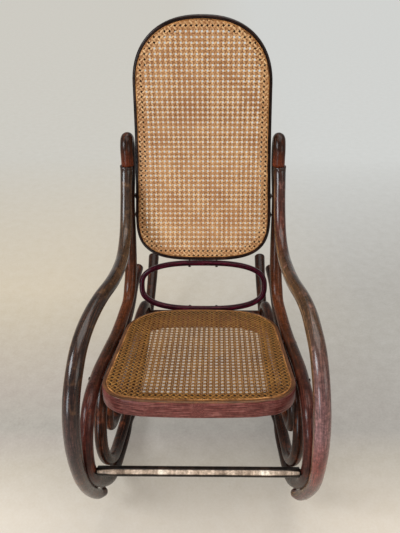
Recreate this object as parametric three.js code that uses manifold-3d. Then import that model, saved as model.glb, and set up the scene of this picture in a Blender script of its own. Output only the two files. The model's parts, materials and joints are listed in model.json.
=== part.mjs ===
// Bentwood rocking chair: two bent side frames, a caned seat and a caned back between them.
// Millimetres. +Z is up, the sitter faces -Y, and +X is the right-hand side as seen from the front.
import * as THREE from 'three';
import { mergeVertices } from 'three/addons/utils/BufferGeometryUtils.js';
import Module from 'manifold-3d';

const wasm = await Module();
wasm.setup();

// Clearances and cutting
const glueGap = 0.3;
const lapGap = 0.6;
const chordError = 0.8;
const lapAllowance = lapGap + chordError;
const slopeAllowance = 1.025;
const slantPlay = 0.8;
const overrun = 2;
const weldReach = 1e-4;

// Faces round and along the pieces
const rodSides = 10;
const turnedSides = 8;
const archSteps = 9;
const sideSteps = 7;
const frontCornerSteps = 6;
const rearCornerSteps = 7;
const hoopSteps = 36;

// Rods
const crookRadius = 16.5;
const uprightRadius = 17;
const railRadius = 15.5;
const curlRadius = 15;
const runnerRadius = 15.5;
const tailRadius = 19;
const scrollRadius = 15;
const scrollTipRadius = 12.5;
const armRadius = 15.5;
const armBowRadius = 17.5;
const armTipRadius = 11.5;
const armStep = 4;

// The curves of a side are drawn on a square board, and their points are shares of its size.
const boardSize = 1000;
const rockerRadius = 1230;
const rockerContactY = -106;
const footFlat = 40;

// Seat
const seatFrontY = -430;
const seatFrontZ = 420;
const seatSlope = THREE.MathUtils.degToRad(11.1);
const seatDepth = 441;
const seatFrontHalf = 216;
const seatRearHalf = 204;
const seatFrontCorner = 76;
const seatRearCorner = 118;
const seatFrontBow = 9;
const seatRearBow = 6;
const seatRimHeight = 41;
const seatRimWidth = 34;
const seatRimRound = 3;
const seatGrooveInset = 9;
const seatSpacerLength = 3;

// Back
const backHeight = 1075.5;
const backHalf = 187.7;
const backTopHalf = 178.2;
const backTopArch = 171;
const backFootArch = 140;
const backTopPower = 2.3;
const backFootPower = 3.3;
const backRimThickness = 18;
const backRimWidth = 28;
const backRimRound = 2.5;
const backGrooveInset = 8;
const backSpacerLength = 3.2;

// Cane and its reed
const grooveWidth = 4;
const grooveDepth = 6;
const reedCrown = 1.6;
const caneThickness = 1.6;
const bentCaneLift = 0.9;
const canePitch = 39;
const caneBar = 11;

// Hoop between the back and the seat
const hoopHalf = 181;
const hoopScrewX = 38;
const hoopRimWidth = 15;
const hoopRimDepth = 20;
const hoopPower = 2.7;
const hoopFootDrop = 4.5;

// Stretchers
const stretcherRadius = 11.3;
const tenonRadius = 7;
const tenonLength = 13;

// Screws and dowels
const screwRadius = 2.2;
const screwHeadRadius = 5;
const screwHeadHeight = 2.6;
const spacerRadius = 7.5;
const dowelRadius = 5;
const dowelLength = 44;
const screwGrip = 16;

// Where the side rods stand: beside the back's uprights and beside the seat's rails.
const rodCorner = 1 / Math.cos(Math.PI / rodSides);
const uprightX = backHalf + backSpacerLength + uprightRadius;
const railX = seatFrontHalf + seatSpacerLength + 2 * glueGap + railRadius * rodCorner + lapGap;

// Points of the side rods: [across, y, z], where across is 0 at the upright and 1 at the rail,
// and y and z are shares of the board.
const crookShares = [
  [-0.15, 0.149, 0.708], [-0.15, 0.1515, 0.728], [-0.15, 0.1555, 0.752], [-0.15, 0.172, 0.772],
  [-0.15, 0.192, 0.767], [-0.14, 0.2005, 0.745],
];
const uprightShares = [
  [-0.1, 0.19, 0.69], [0, 0.145, 0.608], [-0.05, 0.1, 0.5], [-0.03, 0.067, 0.42],
  [0.06, 0.041, 0.38],
];
const railShares = [
  [0.15, 0.01, 0.358], [0.32, -0.036, 0.3495], [0.56, -0.12, 0.3485], [0.82, -0.212, 0.362],
  [0.98, -0.28, 0.374], [1, -0.333, 0.383], [1, -0.372, 0.388], [1.01, -0.412, 0.381],
];
const curlShares = [
  [1.05, -0.4455, 0.352], [1.12, -0.462, 0.31], [1.13, -0.4685, 0.265], [1.11, -0.458, 0.218],
  [1.05, -0.4275, 0.155], [0.9, -0.39, 0.103], [0.82, -0.353, 0.0655], [0.77, -0.31, 0.0415],
];
const runnerShares = [
  [0.72, -0.25], [0.55, -0.17], [0.3, 0], [0.1, 0.1], [-0.05, 0.2], [-0.14, 0.29], [-0.2, 0.38],
  [-0.23, 0.46], [-0.23, 0.525],
];
const tailSwellShares = [0.3, 0.525];
const footShares = [[0.55, -0.5], [0.3, 0.5]];

// Points of the arms, with how far each is swayed to the right on both sides of the chair.
const armShares = [
  [0, 0.128, 0.666, 0], [-0.03, 0.099, 0.629, 0], [-0.04, 0.037, 0.563, 0.001],
  [-0.03, -0.032, 0.54, 0.003], [-0.04, -0.1015, 0.545, 0.005], [0.08, -0.1884, 0.56, 0.006],
  [0.46, -0.2608, 0.57, 0.006], [0.73, -0.3127, 0.57, 0.005], [0.9, -0.3677, 0.565, 0.003],
  [1.05, -0.4113, 0.55, 0.002], [1.17, -0.4503, 0.52, 0.001], [1.3, -0.4778, 0.48, 0],
  [1.4, -0.4967, 0.43, 0], [1.5, -0.5034, 0.363, 0], [1.6, -0.496, 0.285, 0],
  [1.68, -0.475, 0.213, 0], [1.6, -0.441, 0.134, -0.002], [1.34, -0.409, 0.077, -0.003],
  [1.12, -0.394, 0.0625, -0.003],
];
const armRadiusShares = [0, 0, 0, 0, 0.15, 0.3, 0.5, 0.75, 0.9, 1, 1, 1, 1, 0.8];
const armTaperShares = [0.95, 0.85, 0.65, 0.35, 0.1];
const armButtShares = [0, -0.0013, -0.0117];

// Points of the scrolls. Where they lie along the rail or the runner, only [across, y] is given.
const knobShares = [[-0.16, 0.174, 0.362], [0.06, 0.11, 0.348], [0.15, 0.03, 0.326]];
const underRailShares = [[0.3, -0.05], [0.42, -0.12], [0.7, -0.205]];
const scrollFrontShares = [
  [0.85, -0.263, 0.328], [0.92, -0.308, 0.312], [0.95, -0.347, 0.273], [0.93, -0.371, 0.218],
  [0.88, -0.3645, 0.163], [0.82, -0.337, 0.115], [0.79, -0.294, 0.0765],
];
const onRunnerShares = [[0.76, -0.225], [0.55, -0.14], [0.38, -0.04], [0.28, 0.02]];
const scrollRearShares = [
  [0.12, 0.09, 0.0695], [-0.08, 0.16, 0.089], [-0.25, 0.214, 0.117], [-0.32, 0.236, 0.155],
  [-0.28, 0.217, 0.186], [-0.12, 0.168, 0.1975], [0.12, 0.08, 0.194], [0.4, -0.07, 0.172],
  [0.62, -0.2, 0.161],
];
const scrollTipShares = [
  [0.7, -0.25, 0.1645], [0.73, -0.286, 0.182], [0.74, -0.301, 0.212], [0.72, -0.291, 0.252],
  [0.66, -0.258, 0.2825],
];
const scrollEndShares = [[0.58, -0.215], [0.54, -0.185]];

const frontStretcherShares = [-0.463, 0.242];
const rearStretcherShares = [0.2335, 0.139];
const backProfileShares = [
  [0.0511, 0.4333], [0.0911, 0.5021], [0.1237, 0.5709], [0.1469, 0.6509], [0.1609, 0.7345],
  [0.1655, 0.8182], [0.1692, 0.9112], [0.1716, 1],
];

// Where screws stand: those of the seat go through the rail, so their places along it are shares of
// the board. Those of the back are shares of its length. Lapped rods have theirs at [y, z].
const seatScrewShares = [0.1058, 0.2734];
const backScrewShares = [0.2, 0.28];
const armTipScrewShares = [-0.428, 0.116];
const scrollRailScrewShares = [-0.12, 0.317];
const scrollFootScrewShares = [-0.14, 0.047];

// A rounded end: how far beyond the end each further ring stands, and its radius.
const roundEndShares = [[0.3, 0.93], [0.52, 0.72], [0.62, 0.4]];

const group = new THREE.Group();
const solids = {};
const cuts = {};

function finish(color, roughness = 0.35, metalness = 0) {
  return new THREE.MeshStandardMaterial({ color, roughness, metalness });
}

const walnut = finish('#3a201a');
const wornWalnut = finish('#43301f');
const redWalnut = finish('#5a2a26');
const burgundy = finish('#4d1626', 0.3);
const paleBeech = finish('#7a5f52', 0.5);
const paleCane = finish('#cda073', 0.6);
const goldenCane = finish('#966428', 0.6);
const reed = finish('#a87846', 0.5);
const darkSteel = finish('#3c3836', 0.45, 0.9);
const rawBeech = finish('#b28a5e', 0.7);

// Closed surfaces

function bareGeometry(geometry) {
  const bare = geometry.clone();
  bare.deleteAttribute('normal');
  bare.deleteAttribute('uv');
  bare.clearGroups();
  return mergeVertices(bare, weldReach);
}

function signedVolume(geometry) {
  const position = geometry.attributes.position;
  const index = geometry.index.array;
  const [a, b, c] = [new THREE.Vector3(), new THREE.Vector3(), new THREE.Vector3()];
  let volume = 0;
  for (let i = 0; i < index.length; i += 3) {
    a.fromBufferAttribute(position, index[i]);
    b.fromBufferAttribute(position, index[i + 1]);
    c.fromBufferAttribute(position, index[i + 2]);
    volume += a.dot(b.cross(c)) / 6;
  }
  return volume;
}

function turnedOut(geometry) {
  if (signedVolume(geometry) > 0) return geometry;
  const index = geometry.index.array;
  for (let i = 0; i < index.length; i += 3) {
    [index[i + 1], index[i + 2]] = [index[i + 2], index[i + 1]];
  }
  return geometry;
}

function toManifold(geometry) {
  return new wasm.Manifold(new wasm.Mesh({
    numProp: 3,
    vertProperties: new Float32Array(geometry.attributes.position.array),
    triVerts: new Uint32Array(geometry.index.array),
  }));
}

function fromManifold(solid) {
  const mesh = solid.getMesh();
  const geometry = new THREE.BufferGeometry();
  const corners = new Float32Array(mesh.vertProperties);
  geometry.setAttribute('position', new THREE.BufferAttribute(corners, 3));
  geometry.setIndex(new THREE.BufferAttribute(new Uint32Array(mesh.triVerts), 1));
  return geometry;
}

// A rod of round section along a run of stations { at, radius }.
// Its flat sides face up and down, so that lapped rods lie flat on each other.
function rodAlong(stations) {
  const last = stations.length - 1;
  const turn = Math.PI / rodSides;
  const unit = new THREE.CylinderGeometry(rodCorner, rodCorner, 1, rodSides, last, false, turn);
  const position = unit.attributes.position;
  const side = new THREE.Vector3();
  const up = new THREE.Vector3();
  const point = new THREE.Vector3();
  for (let i = 0; i < position.count; i += 1) {
    const place = Math.round((position.getY(i) + 0.5) * last);
    const { at, along, radius } = stations[place];
    side.set(1, 0, 0).addScaledVector(along, -along.x).normalize();
    up.crossVectors(side, along);
    point.copy(at);
    point.addScaledVector(side, position.getX(i) * radius);
    point.addScaledVector(up, position.getZ(i) * radius);
    position.setXYZ(i, point.x, point.y, point.z);
  }
  return turnedOut(bareGeometry(unit));
}

// Stations along a smooth curve through points { at, radius }, closer where it bends more.
function stationsThrough(points) {
  const curve = new THREE.CatmullRomCurve3(points.map((point) => point.at), false, 'centripetal');
  const spans = points.length - 1;
  const stations = [];
  for (let span = 0; span < spans; span += 1) {
    const start = curve.getTangent(span / spans);
    const end = curve.getTangent((span + 1) / spans);
    const length = points[span].at.distanceTo(points[span + 1].at);
    const bend = start.angleTo(end);
    const steps = Math.max(1, Math.ceil(Math.sqrt(bend * length / (8 * chordError))));
    for (let step = 0; step < steps; step += 1) {
      const share = step / steps;
      const t = (span + share) / spans;
      const radius = THREE.MathUtils.lerp(points[span].radius, points[span + 1].radius, share);
      stations.push({ at: curve.getPoint(t), along: curve.getTangent(t), radius });
    }
  }
  const { radius } = points[spans];
  stations.push({ at: curve.getPoint(1), along: curve.getTangent(1), radius });
  return stations;
}

// Further stations of falling radius beyond the first or last one.
function withRoundEnd(stations, atStart) {
  const end = atStart ? stations[0] : stations[stations.length - 1];
  const outward = end.along.clone().multiplyScalar(atStart ? -1 : 1);
  const extra = roundEndShares.map(([reach, share]) => ({
    at: end.at.clone().addScaledVector(outward, reach * end.radius),
    along: end.along,
    radius: share * end.radius,
  }));
  return atStart ? [...extra.reverse(), ...stations] : [...stations, ...extra];
}

// A closed ring: an outline in a surface, and a section of [inward, outward from the surface].
function ringAlong(outline, section, surface) {
  const position = [];
  const index = [];
  const count = outline.length;
  for (let i = 0; i < count; i += 1) {
    section.forEach(([inward, proud]) => {
      const spot = insetPoint(outline, i, inward);
      position.push(...surface(spot.x, spot.y, proud).toArray());
    });
  }
  const sides = section.length;
  for (let i = 0; i < count; i += 1) {
    const next = (i + 1) % count;
    for (let j = 0; j < sides; j += 1) {
      const beside = (j + 1) % sides;
      const [a, b] = [i * sides + j, i * sides + beside];
      const [c, d] = [next * sides + j, next * sides + beside];
      index.push(a, c, b, b, c, d);
    }
  }
  const geometry = new THREE.BufferGeometry();
  geometry.setAttribute('position', new THREE.Float32BufferAttribute(position, 3));
  geometry.setIndex(index);
  return turnedOut(geometry);
}

// Mitred inset of one corner of a closed outline that runs anticlockwise.
function insetPoint(outline, i, inward) {
  const count = outline.length;
  const here = outline[i];
  const before = here.clone().sub(outline[(i + count - 1) % count]).normalize();
  const after = outline[(i + 1) % count].clone().sub(here).normalize();
  const normal = new THREE.Vector2(-before.y - after.y, before.x + after.x).normalize();
  const mitre = inward / (normal.x * -before.y + normal.y * before.x);
  return here.clone().addScaledVector(normal, mitre);
}

function insetOutline(outline, inward) {
  return outline.map((point, i) => insetPoint(outline, i, inward));
}

function barAlong(start, direction, length, radius) {
  const bar = new THREE.CylinderGeometry(radius, radius, length, turnedSides);
  bar.translate(0, length / 2, 0);
  return placed(bar, start, direction);
}

function placed(geometry, start, direction) {
  const turn = new THREE.Quaternion().setFromUnitVectors(new THREE.Vector3(0, 1, 0), direction);
  geometry.applyQuaternion(turn);
  geometry.translate(start.x, start.y, start.z);
  return turnedOut(bareGeometry(geometry));
}

// A turned piece: a profile of [radius, height] spun round the line that leaves start.
function turnedPiece(profile, start, direction) {
  const points = profile.map(([radius, height]) => new THREE.Vector2(radius, height));
  return placed(new THREE.LatheGeometry(points, turnedSides), start, direction);
}

function add(name, geometry, material) {
  solids[name] = { geometry, material };
}

function cut(name, tool) {
  cuts[name] = cuts[name] || [];
  cuts[name].push(tool);
}

function bore(names, start, direction, length, radius) {
  names.forEach((name) => cut(name, barAlong(start, direction, length, radius)));
}

// A screw whose head seats at start and whose shank runs along direction.
function addScrew(name, start, direction, length, names) {
  const profile = [
    [0, length], [screwRadius, length - screwHeadRadius], [screwRadius, 0], [screwHeadRadius, 0],
    [screwHeadRadius / 2, -screwHeadHeight], [0, -screwHeadHeight],
  ];
  add(name, turnedPiece(profile, start, direction), darkSteel);
  const back = start.clone().addScaledVector(direction, -overrun);
  bore(names, back, direction, length + overrun + glueGap, screwRadius + glueGap);
}

function addSpacer(name, start, direction, length) {
  const inner = screwRadius + glueGap;
  const profile = [
    [inner, 0], [spacerRadius, 0], [spacerRadius, length], [inner, length], [inner, 0],
  ];
  add(name, turnedPiece(profile, start, direction), walnut);
}

// Outlines, as points (x, distance along the panel), anticlockwise

function superPoint(half, reach, power, angle) {
  const c = Math.cos(angle);
  const s = Math.sin(angle);
  return new THREE.Vector2(
    half * Math.sign(c) * Math.abs(c) ** (2 / power),
    reach * Math.sign(s) * Math.abs(s) ** (2 / power),
  );
}

// Half width of a panel's outline at a distance along it.
function halfAt(outline, s) {
  const i = outline.findIndex((point, j) => point.x > 0 && point.y <= s && outline[j + 1].y > s);
  const [from, to] = [outline[i], outline[i + 1]];
  return THREE.MathUtils.mapLinear(s, from.y, to.y, from.x, to.x);
}

function mirrored(rightSide) {
  const leftSide = rightSide.map((point) => new THREE.Vector2(-point.x, point.y)).reverse();
  return [...rightSide, ...leftSide];
}

function arch(half, reach, power, middle, side) {
  const points = [];
  for (let i = 0; i < archSteps; i += 1) {
    const angle = side * (Math.PI / 2) * ((i + 0.5) / archSteps);
    const point = superPoint(half, reach, power, angle);
    points.push(new THREE.Vector2(point.x, middle + point.y));
  }
  return side < 0 ? points.reverse() : points;
}

function backOutline() {
  const topMiddle = backLength - backTopArch;
  const sideRun = [];
  for (let i = 0; i <= sideSteps; i += 1) {
    sideRun.push(new THREE.Vector2(
      THREE.MathUtils.lerp(backHalf, backTopHalf, i / sideSteps),
      THREE.MathUtils.lerp(backFootArch, topMiddle, i / sideSteps),
    ));
  }
  return mirrored([
    ...arch(backHalf, backFootArch, backFootPower, backFootArch, -1),
    ...sideRun,
    ...arch(backTopHalf, backTopArch, backTopPower, topMiddle, 1),
  ]);
}

// One corner of the seat: an arc that meets the front or rear edge and the side.
function cornerArc(centre, radius, from, to, steps) {
  const points = [];
  for (let i = 0; i <= steps; i += 1) {
    const angle = THREE.MathUtils.lerp(from, to, i / steps);
    const reach = new THREE.Vector2(Math.cos(angle), Math.sin(angle));
    points.push(reach.multiplyScalar(radius).add(centre));
  }
  return points;
}

// The bowed front or rear edge of the seat: [share of the way to the corner, share of the bow].
const edgeShares = [[0.25, 0], [0.7, 0.3]];

function seatOutline() {
  const quarter = Math.PI / 2;
  const frontTurn = Math.atan2(seatFrontBow, seatFrontHalf - seatFrontCorner) * 2;
  const rearTurn = Math.atan2(seatRearBow, seatRearHalf - seatRearCorner) * 2;
  const lean = Math.atan2(seatFrontHalf - seatRearHalf, seatDepth);
  const frontCentre = new THREE.Vector2(
    seatFrontHalf - seatFrontCorner,
    seatFrontBow + seatFrontCorner,
  );
  const rearCentre = new THREE.Vector2(
    seatRearHalf - seatRearCorner,
    seatDepth - seatRearBow - seatRearCorner,
  );
  return mirrored([
    ...edgeShares.map(([x, bow]) => new THREE.Vector2(frontCentre.x * x, seatFrontBow * bow)),
    ...cornerArc(frontCentre, seatFrontCorner, frontTurn - quarter, lean, frontCornerSteps),
    ...cornerArc(rearCentre, seatRearCorner, lean, quarter - rearTurn, rearCornerSteps),
    ...edgeShares.map(([x, bow]) => new THREE.Vector2(rearCentre.x * x, seatDepth - seatRearBow * bow))
      .reverse(),
  ]);
}

// Surfaces: (x, distance along the panel, distance proud of its face)

function onSeat(x, s, proud) {
  return new THREE.Vector3(
    x,
    seatFrontY + s * Math.cos(seatSlope) + proud * Math.sin(seatSlope),
    seatFrontZ - s * Math.sin(seatSlope) + proud * Math.cos(seatSlope),
  );
}

const backCurve = new THREE.CatmullRomCurve3(backProfileShares.map(
  ([y, z]) => new THREE.Vector3(0, y * backHeight, z * backHeight),
));
const backLength = backCurve.getLength();

function onBack(x, s, proud) {
  const t = THREE.MathUtils.clamp(s / backLength, 0, 1);
  const at = backCurve.getPointAt(t);
  const along = backCurve.getTangentAt(t);
  return new THREE.Vector3(x, at.y - proud * along.z, at.z + proud * along.y);
}

const hoopFoot = onSeat(0, seatDepth + lapGap + hoopRimDepth / 2, -hoopFootDrop);
const hoopHead = onBack(0, 0, -backRimThickness / 2)
  .addScaledVector(backCurve.getTangentAt(0), -hoopRimWidth / 2 - lapGap);
const hoopAlong = hoopHead.clone().sub(hoopFoot).normalize();
const hoopHeight = hoopHead.distanceTo(hoopFoot) + hoopRimWidth;

function onHoop(x, s, proud) {
  const start = hoopFoot.clone().addScaledVector(hoopAlong, -hoopRimWidth / 2);
  return new THREE.Vector3(
    x,
    start.y + s * hoopAlong.y - proud * hoopAlong.z,
    start.z + s * hoopAlong.z + proud * hoopAlong.y,
  );
}

// Side rods

function sidePoint(side, across, y, z, radius) {
  const x = THREE.MathUtils.lerp(uprightX, railX, across);
  return { at: new THREE.Vector3(side * x, y, z), radius };
}

function boardPoint(side, [across, y, z], radius) {
  return sidePoint(side, across, y * boardSize, z * boardSize, radius);
}

// Height of a rod's middle that lies lift above the rocker's arc, which has a short flat to stand on.
function rockerHeight(y, lift) {
  const reach = Math.max(0, Math.abs(y - rockerContactY) - footFlat / 2);
  return rockerRadius - Math.sqrt((rockerRadius - lift) ** 2 - reach ** 2);
}

function runnerPoint(side, across, y, lift, radius) {
  return sidePoint(side, across, y, rockerHeight(y, lift), radius);
}

function railHeight(y) {
  const share = y / boardSize;
  const next = railShares.findIndex((point) => point[1] <= share);
  const [, y0, z0] = railShares[next - 1];
  const [, y1, z1] = railShares[next];
  return THREE.MathUtils.mapLinear(share, y0, y1, z0, z1) * boardSize;
}

function sideRodPoints(side) {
  const runner = runnerShares.map(([across, y]) => {
    const swell = THREE.MathUtils.mapLinear(y, ...tailSwellShares, 0, 1);
    const radius = THREE.MathUtils.lerp(runnerRadius, tailRadius, Math.max(0, swell));
    return runnerPoint(side, across, y * boardSize, radius, radius);
  });
  const foot = footShares.map(([across, end]) => {
    const y = rockerContactY + end * footFlat;
    return runnerPoint(side, across, y, runnerRadius, runnerRadius);
  });
  return [
    ...crookShares.map((point) => boardPoint(side, point, crookRadius)),
    ...uprightShares.map((point) => boardPoint(side, point, uprightRadius)),
    ...railShares.map((point) => boardPoint(side, point, railRadius)),
    ...curlShares.map((point) => boardPoint(side, point, curlRadius)),
    ...runner.slice(0, 2),
    ...foot,
    ...runner.slice(2),
  ];
}

// An arm butts against the lower end of the crook, a little outside it.
function armPoints(side) {
  const bow = armRadiusShares.map((share) => THREE.MathUtils.lerp(armRadius, armBowRadius, share));
  const taper = armTaperShares.map((share) => THREE.MathUtils.lerp(armTipRadius, armRadius, share));
  const radii = [...bow, ...taper];
  const crook = boardPoint(side, crookShares[0], crookRadius);
  const top = crook.at.clone().add(new THREE.Vector3(side * armStep, 0, -lapGap));
  const below = top.clone().addScaledVector(new THREE.Vector3(...armButtShares), boardSize);
  return [
    { at: top, radius: crookRadius },
    { at: below, radius: crookRadius },
    ...armShares.map((point, i) => {
      const placed = boardPoint(side, point, radii[i]);
      placed.at.x += point[3] * boardSize;
      return placed;
    }),
  ];
}

function scrollPoints(side) {
  const underRail = railRadius + scrollRadius + lapAllowance;
  const onRunner = 2 * runnerRadius + scrollRadius + lapAllowance;
  const underScroll = underRail + scrollRadius + scrollTipRadius + lapAllowance;
  const belowRail = ([across, y], drop, radius) => {
    const height = railHeight(y * boardSize) - drop * slopeAllowance;
    return sidePoint(side, across, y * boardSize, height, radius);
  };
  return [
    ...knobShares.map((point) => boardPoint(side, point, scrollRadius)),
    ...underRailShares.map((point) => belowRail(point, underRail, scrollRadius)),
    ...scrollFrontShares.map((point) => boardPoint(side, point, scrollRadius)),
    ...onRunnerShares.map(([across, y]) => (
      runnerPoint(side, across, y * boardSize, onRunner, scrollRadius)
    )),
    ...scrollRearShares.map((point) => boardPoint(side, point, scrollRadius)),
    ...scrollTipShares.map((point) => boardPoint(side, point, scrollTipRadius)),
    ...scrollEndShares.map((point) => belowRail(point, underScroll, scrollTipRadius)),
  ];
}

// The place on a rod that lies nearest to a point of the side view.
function nearest(stations, y, z) {
  let best = null;
  for (let i = 0; i + 1 < stations.length; i += 1) {
    const [from, to] = [stations[i], stations[i + 1]];
    const [dy, dz] = [to.at.y - from.at.y, to.at.z - from.at.z];
    const reach = ((y - from.at.y) * dy + (z - from.at.z) * dz) / (dy * dy + dz * dz);
    const share = THREE.MathUtils.clamp(reach, 0, 1);
    const at = from.at.clone().lerp(to.at, share);
    const gap = Math.hypot(at.y - y, at.z - z);
    const radius = THREE.MathUtils.lerp(from.radius, to.radius, share);
    if (!best || gap < best.gap) best = { at, gap, radius };
  }
  return best;
}

const sideNames = [['left', -1], ['right', 1]];
const rods = {};

function buildSide(label, side) {
  const main = stationsThrough(sideRodPoints(side));
  const arm = stationsThrough(armPoints(side));
  const scroll = stationsThrough(scrollPoints(side));
  rods[label] = { main, arm, scroll };
  add(`side_rod_${label}`, rodAlong(withRoundEnd(main, false)), walnut);
  add(`arm_${label}`, rodAlong(withRoundEnd(arm, false)), wornWalnut);
  add(`scroll_${label}`, rodAlong(withRoundEnd(withRoundEnd(scroll, true), false)), walnut);
  const seatUnderside = seatFrontZ - seatRimHeight;
  const lapped = main.filter((station) => station.at.y < 0 && station.at.z < seatUnderside);
  const fat = lapped.map((station) => ({ ...station, radius: station.radius + glueGap }));
  cut(`arm_${label}`, rodAlong(fat));
}

// Fasteners of one side

// The widest half of a panel over the breadth of a spacer that stands against it.
function edgeNear(outline, s) {
  return Math.max(...[-spacerRadius, 0, spacerRadius].map((step) => halfAt(outline, s + step)));
}

function addSideJoints(label, side) {
  const { main, arm, scroll } = rods[label];
  const outward = new THREE.Vector3(side, 0, 0);
  const inward = outward.clone().negate();
  const hold = (kind, node, spot, edge, number) => {
    const rod = nearest(main, spot.y, spot.z);
    const middle = Math.abs(rod.at.x);
    const face = middle - rod.radius * rodCorner;
    const head = middle + rod.radius * rodCorner + slantPlay;
    const seatAt = new THREE.Vector3(side * head, spot.y, spot.z);
    const name = `${kind}_screw_${label}_${number}`;
    addScrew(name, seatAt, inward, head - edge + screwGrip, [`side_rod_${label}`, node]);
    const spacerAt = new THREE.Vector3(side * (edge + 2 * glueGap), spot.y, spot.z);
    const spacerLength = face - edge - 2 * glueGap - slantPlay;
    addSpacer(`${kind}_spacer_${label}_${number}`, spacerAt, outward, spacerLength);
  };
  seatScrewShares.forEach((share, i) => {
    const s = share * boardSize;
    hold('seat', 'seat_frame', onSeat(0, s, -seatRimHeight / 3), edgeNear(seatOutline(), s), i + 1);
  });
  backScrewShares.forEach((share, i) => {
    const s = share * backLength;
    hold('back', 'back_frame', onBack(0, s, -backRimThickness / 2), edgeNear(backOutline(), s), i + 1);
  });
  const top = arm[0];
  const down = top.along;
  const dowelStart = top.at.clone().addScaledVector(down, -dowelLength / 2);
  add(`arm_dowel_${label}`, barAlong(dowelStart, down, dowelLength, dowelRadius), rawBeech);
  const dowelHole = dowelStart.clone().addScaledVector(down, -glueGap);
  const holeLength = dowelLength + 2 * glueGap;
  bore([`arm_${label}`, `side_rod_${label}`], dowelHole, down, holeLength, dowelRadius + glueGap);
  const armName = `arm_${label}`;
  const scrollName = `scroll_${label}`;
  const mainName = `side_rod_${label}`;
  addLapScrew(`arm_tip_screw_${label}`, arm, main, armTipScrewShares, armName, mainName);
  addLapScrew(`scroll_rail_screw_${label}`, scroll, main, scrollRailScrewShares, scrollName, mainName);
  addLapScrew(`scroll_foot_screw_${label}`, scroll, main, scrollFootScrewShares, scrollName, mainName);
}

// A screw through one rod into the rod that it is lapped on, with its head sunk in the first.
function addLapScrew(name, outer, inner, [y, z], outerName, innerName) {
  const from = nearest(outer, y * boardSize, z * boardSize);
  const to = nearest(inner, from.at.y, from.at.z);
  const direction = to.at.clone().sub(from.at).normalize();
  const seat = from.at.clone().addScaledVector(direction, -from.radius * rodCorner - glueGap);
  const length = from.radius + from.at.distanceTo(to.at) + to.radius / 3;
  addScrew(name, seat, direction, length, [outerName, innerName]);
  const outward = direction.clone().negate();
  bore([outerName], seat, outward, 3 * screwHeadHeight, screwHeadRadius + glueGap);
}

function addStretcher(name, [y, z], rodKey, nodeStem, material) {
  const rod = nearest(rods.right[rodKey], y * boardSize, z * boardSize);
  const shoulder = rod.at.x - rod.radius * rodCorner - lapGap;
  const tip = shoulder + tenonLength;
  const start = new THREE.Vector3(-tip, rod.at.y, rod.at.z);
  const profile = [
    [0, 0], [tenonRadius, 0], [tenonRadius, tenonLength], [stretcherRadius, tenonLength],
    [stretcherRadius, tip + shoulder], [tenonRadius, tip + shoulder], [tenonRadius, 2 * tip],
    [0, 2 * tip],
  ];
  const along = new THREE.Vector3(1, 0, 0);
  add(name, turnedPiece(profile, start, along), material);
  const socketLength = tenonLength + overrun;
  sideNames.forEach(([label, side]) => {
    const mouth = new THREE.Vector3(side * (tip + glueGap), rod.at.y, rod.at.z);
    const inward = along.clone().multiplyScalar(-side);
    bore([`${nodeStem}_${label}`], mouth, inward, socketLength, tenonRadius + glueGap);
  });
}

// Caned panels

function rimSection(width, thickness, round, inset) {
  return [
    [round, -thickness], [0, -thickness + round], [0, -round], [round, 0], [inset, 0],
    [inset, -grooveDepth], [inset + grooveWidth, -grooveDepth], [inset + grooveWidth, 0],
    [width, 0], [width, -thickness],
  ];
}

function reedSection(inset) {
  const inner = inset + glueGap;
  const outer = inset + grooveWidth - glueGap;
  return [
    [inner, glueGap - grooveDepth], [inner, reedCrown / 2], [(inner + outer) / 2, reedCrown],
    [outer, reedCrown / 2], [outer, glueGap - grooveDepth],
  ];
}

function inside(outline, point) {
  return outline.every((corner, i) => {
    const next = outline[(i + 1) % outline.length];
    return next.clone().sub(corner).cross(point.clone().sub(corner)) > 0;
  });
}

// Square gaps of a net, in rows and columns centred on the panel, inside an outline.
function netGaps(outline, length) {
  const rows = Math.floor(length / canePitch);
  const columns = Math.floor(2 * seatFrontHalf / canePitch);
  const half = (canePitch - caneBar) / 2;
  const gaps = [];
  for (let row = 0; row < rows; row += 1) {
    const s = length / 2 + (row - (rows - 1) / 2) * canePitch;
    for (let column = 0; column < columns; column += 1) {
      const x = (column - (columns - 1) / 2) * canePitch;
      const corners = [[-half, -half], [half, -half], [half, half], [-half, half]]
        .map(([dx, ds]) => new THREE.Vector2(x + dx, s + ds));
      if (corners.every((corner) => inside(outline, corner))) gaps.push(corners);
    }
  }
  return { gaps, firstBar: length / 2 - rows / 2 * canePitch, rows };
}

// Prism of outlines drawn on the panel, from one height over its face.
function flatPrism(outlines, from, depth) {
  const shapes = outlines.map((points) => new THREE.Shape(points));
  const prism = new THREE.ExtrudeGeometry(shapes, { depth, bevelEnabled: false });
  prism.translate(0, 0, from);
  return turnedOut(bareGeometry(prism));
}

function seatCane(outline) {
  const edge = insetOutline(outline, seatGrooveInset + grooveWidth);
  const { gaps } = netGaps(insetOutline(edge, caneBar / 2), seatDepth);
  const plate = flatPrism([edge], glueGap, caneThickness);
  const holes = flatPrism(gaps, -overrun, caneThickness + 2 * overrun);
  const flat = fromManifold(toManifold(plate).subtract(toManifold(holes)));
  const position = flat.attributes.position;
  for (let i = 0; i < position.count; i += 1) {
    const point = onSeat(position.getX(i), position.getY(i), position.getZ(i));
    position.setXYZ(i, point.x, point.y, point.z);
  }
  return turnedOut(flat);
}

// Prism of shapes drawn in (x, z), running along y through the back.
function throughBack(outlines) {
  const shapes = outlines.map((points) => new THREE.Shape(points));
  const prism = new THREE.ExtrudeGeometry(shapes, { depth: backHeight, bevelEnabled: false });
  prism.rotateX(Math.PI / 2);
  prism.translate(0, backHeight / 2, 0);
  return turnedOut(bareGeometry(prism));
}

function upright(points) {
  return points.map((point) => new THREE.Vector2(point.x, onBack(0, point.y, 0).z));
}

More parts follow.
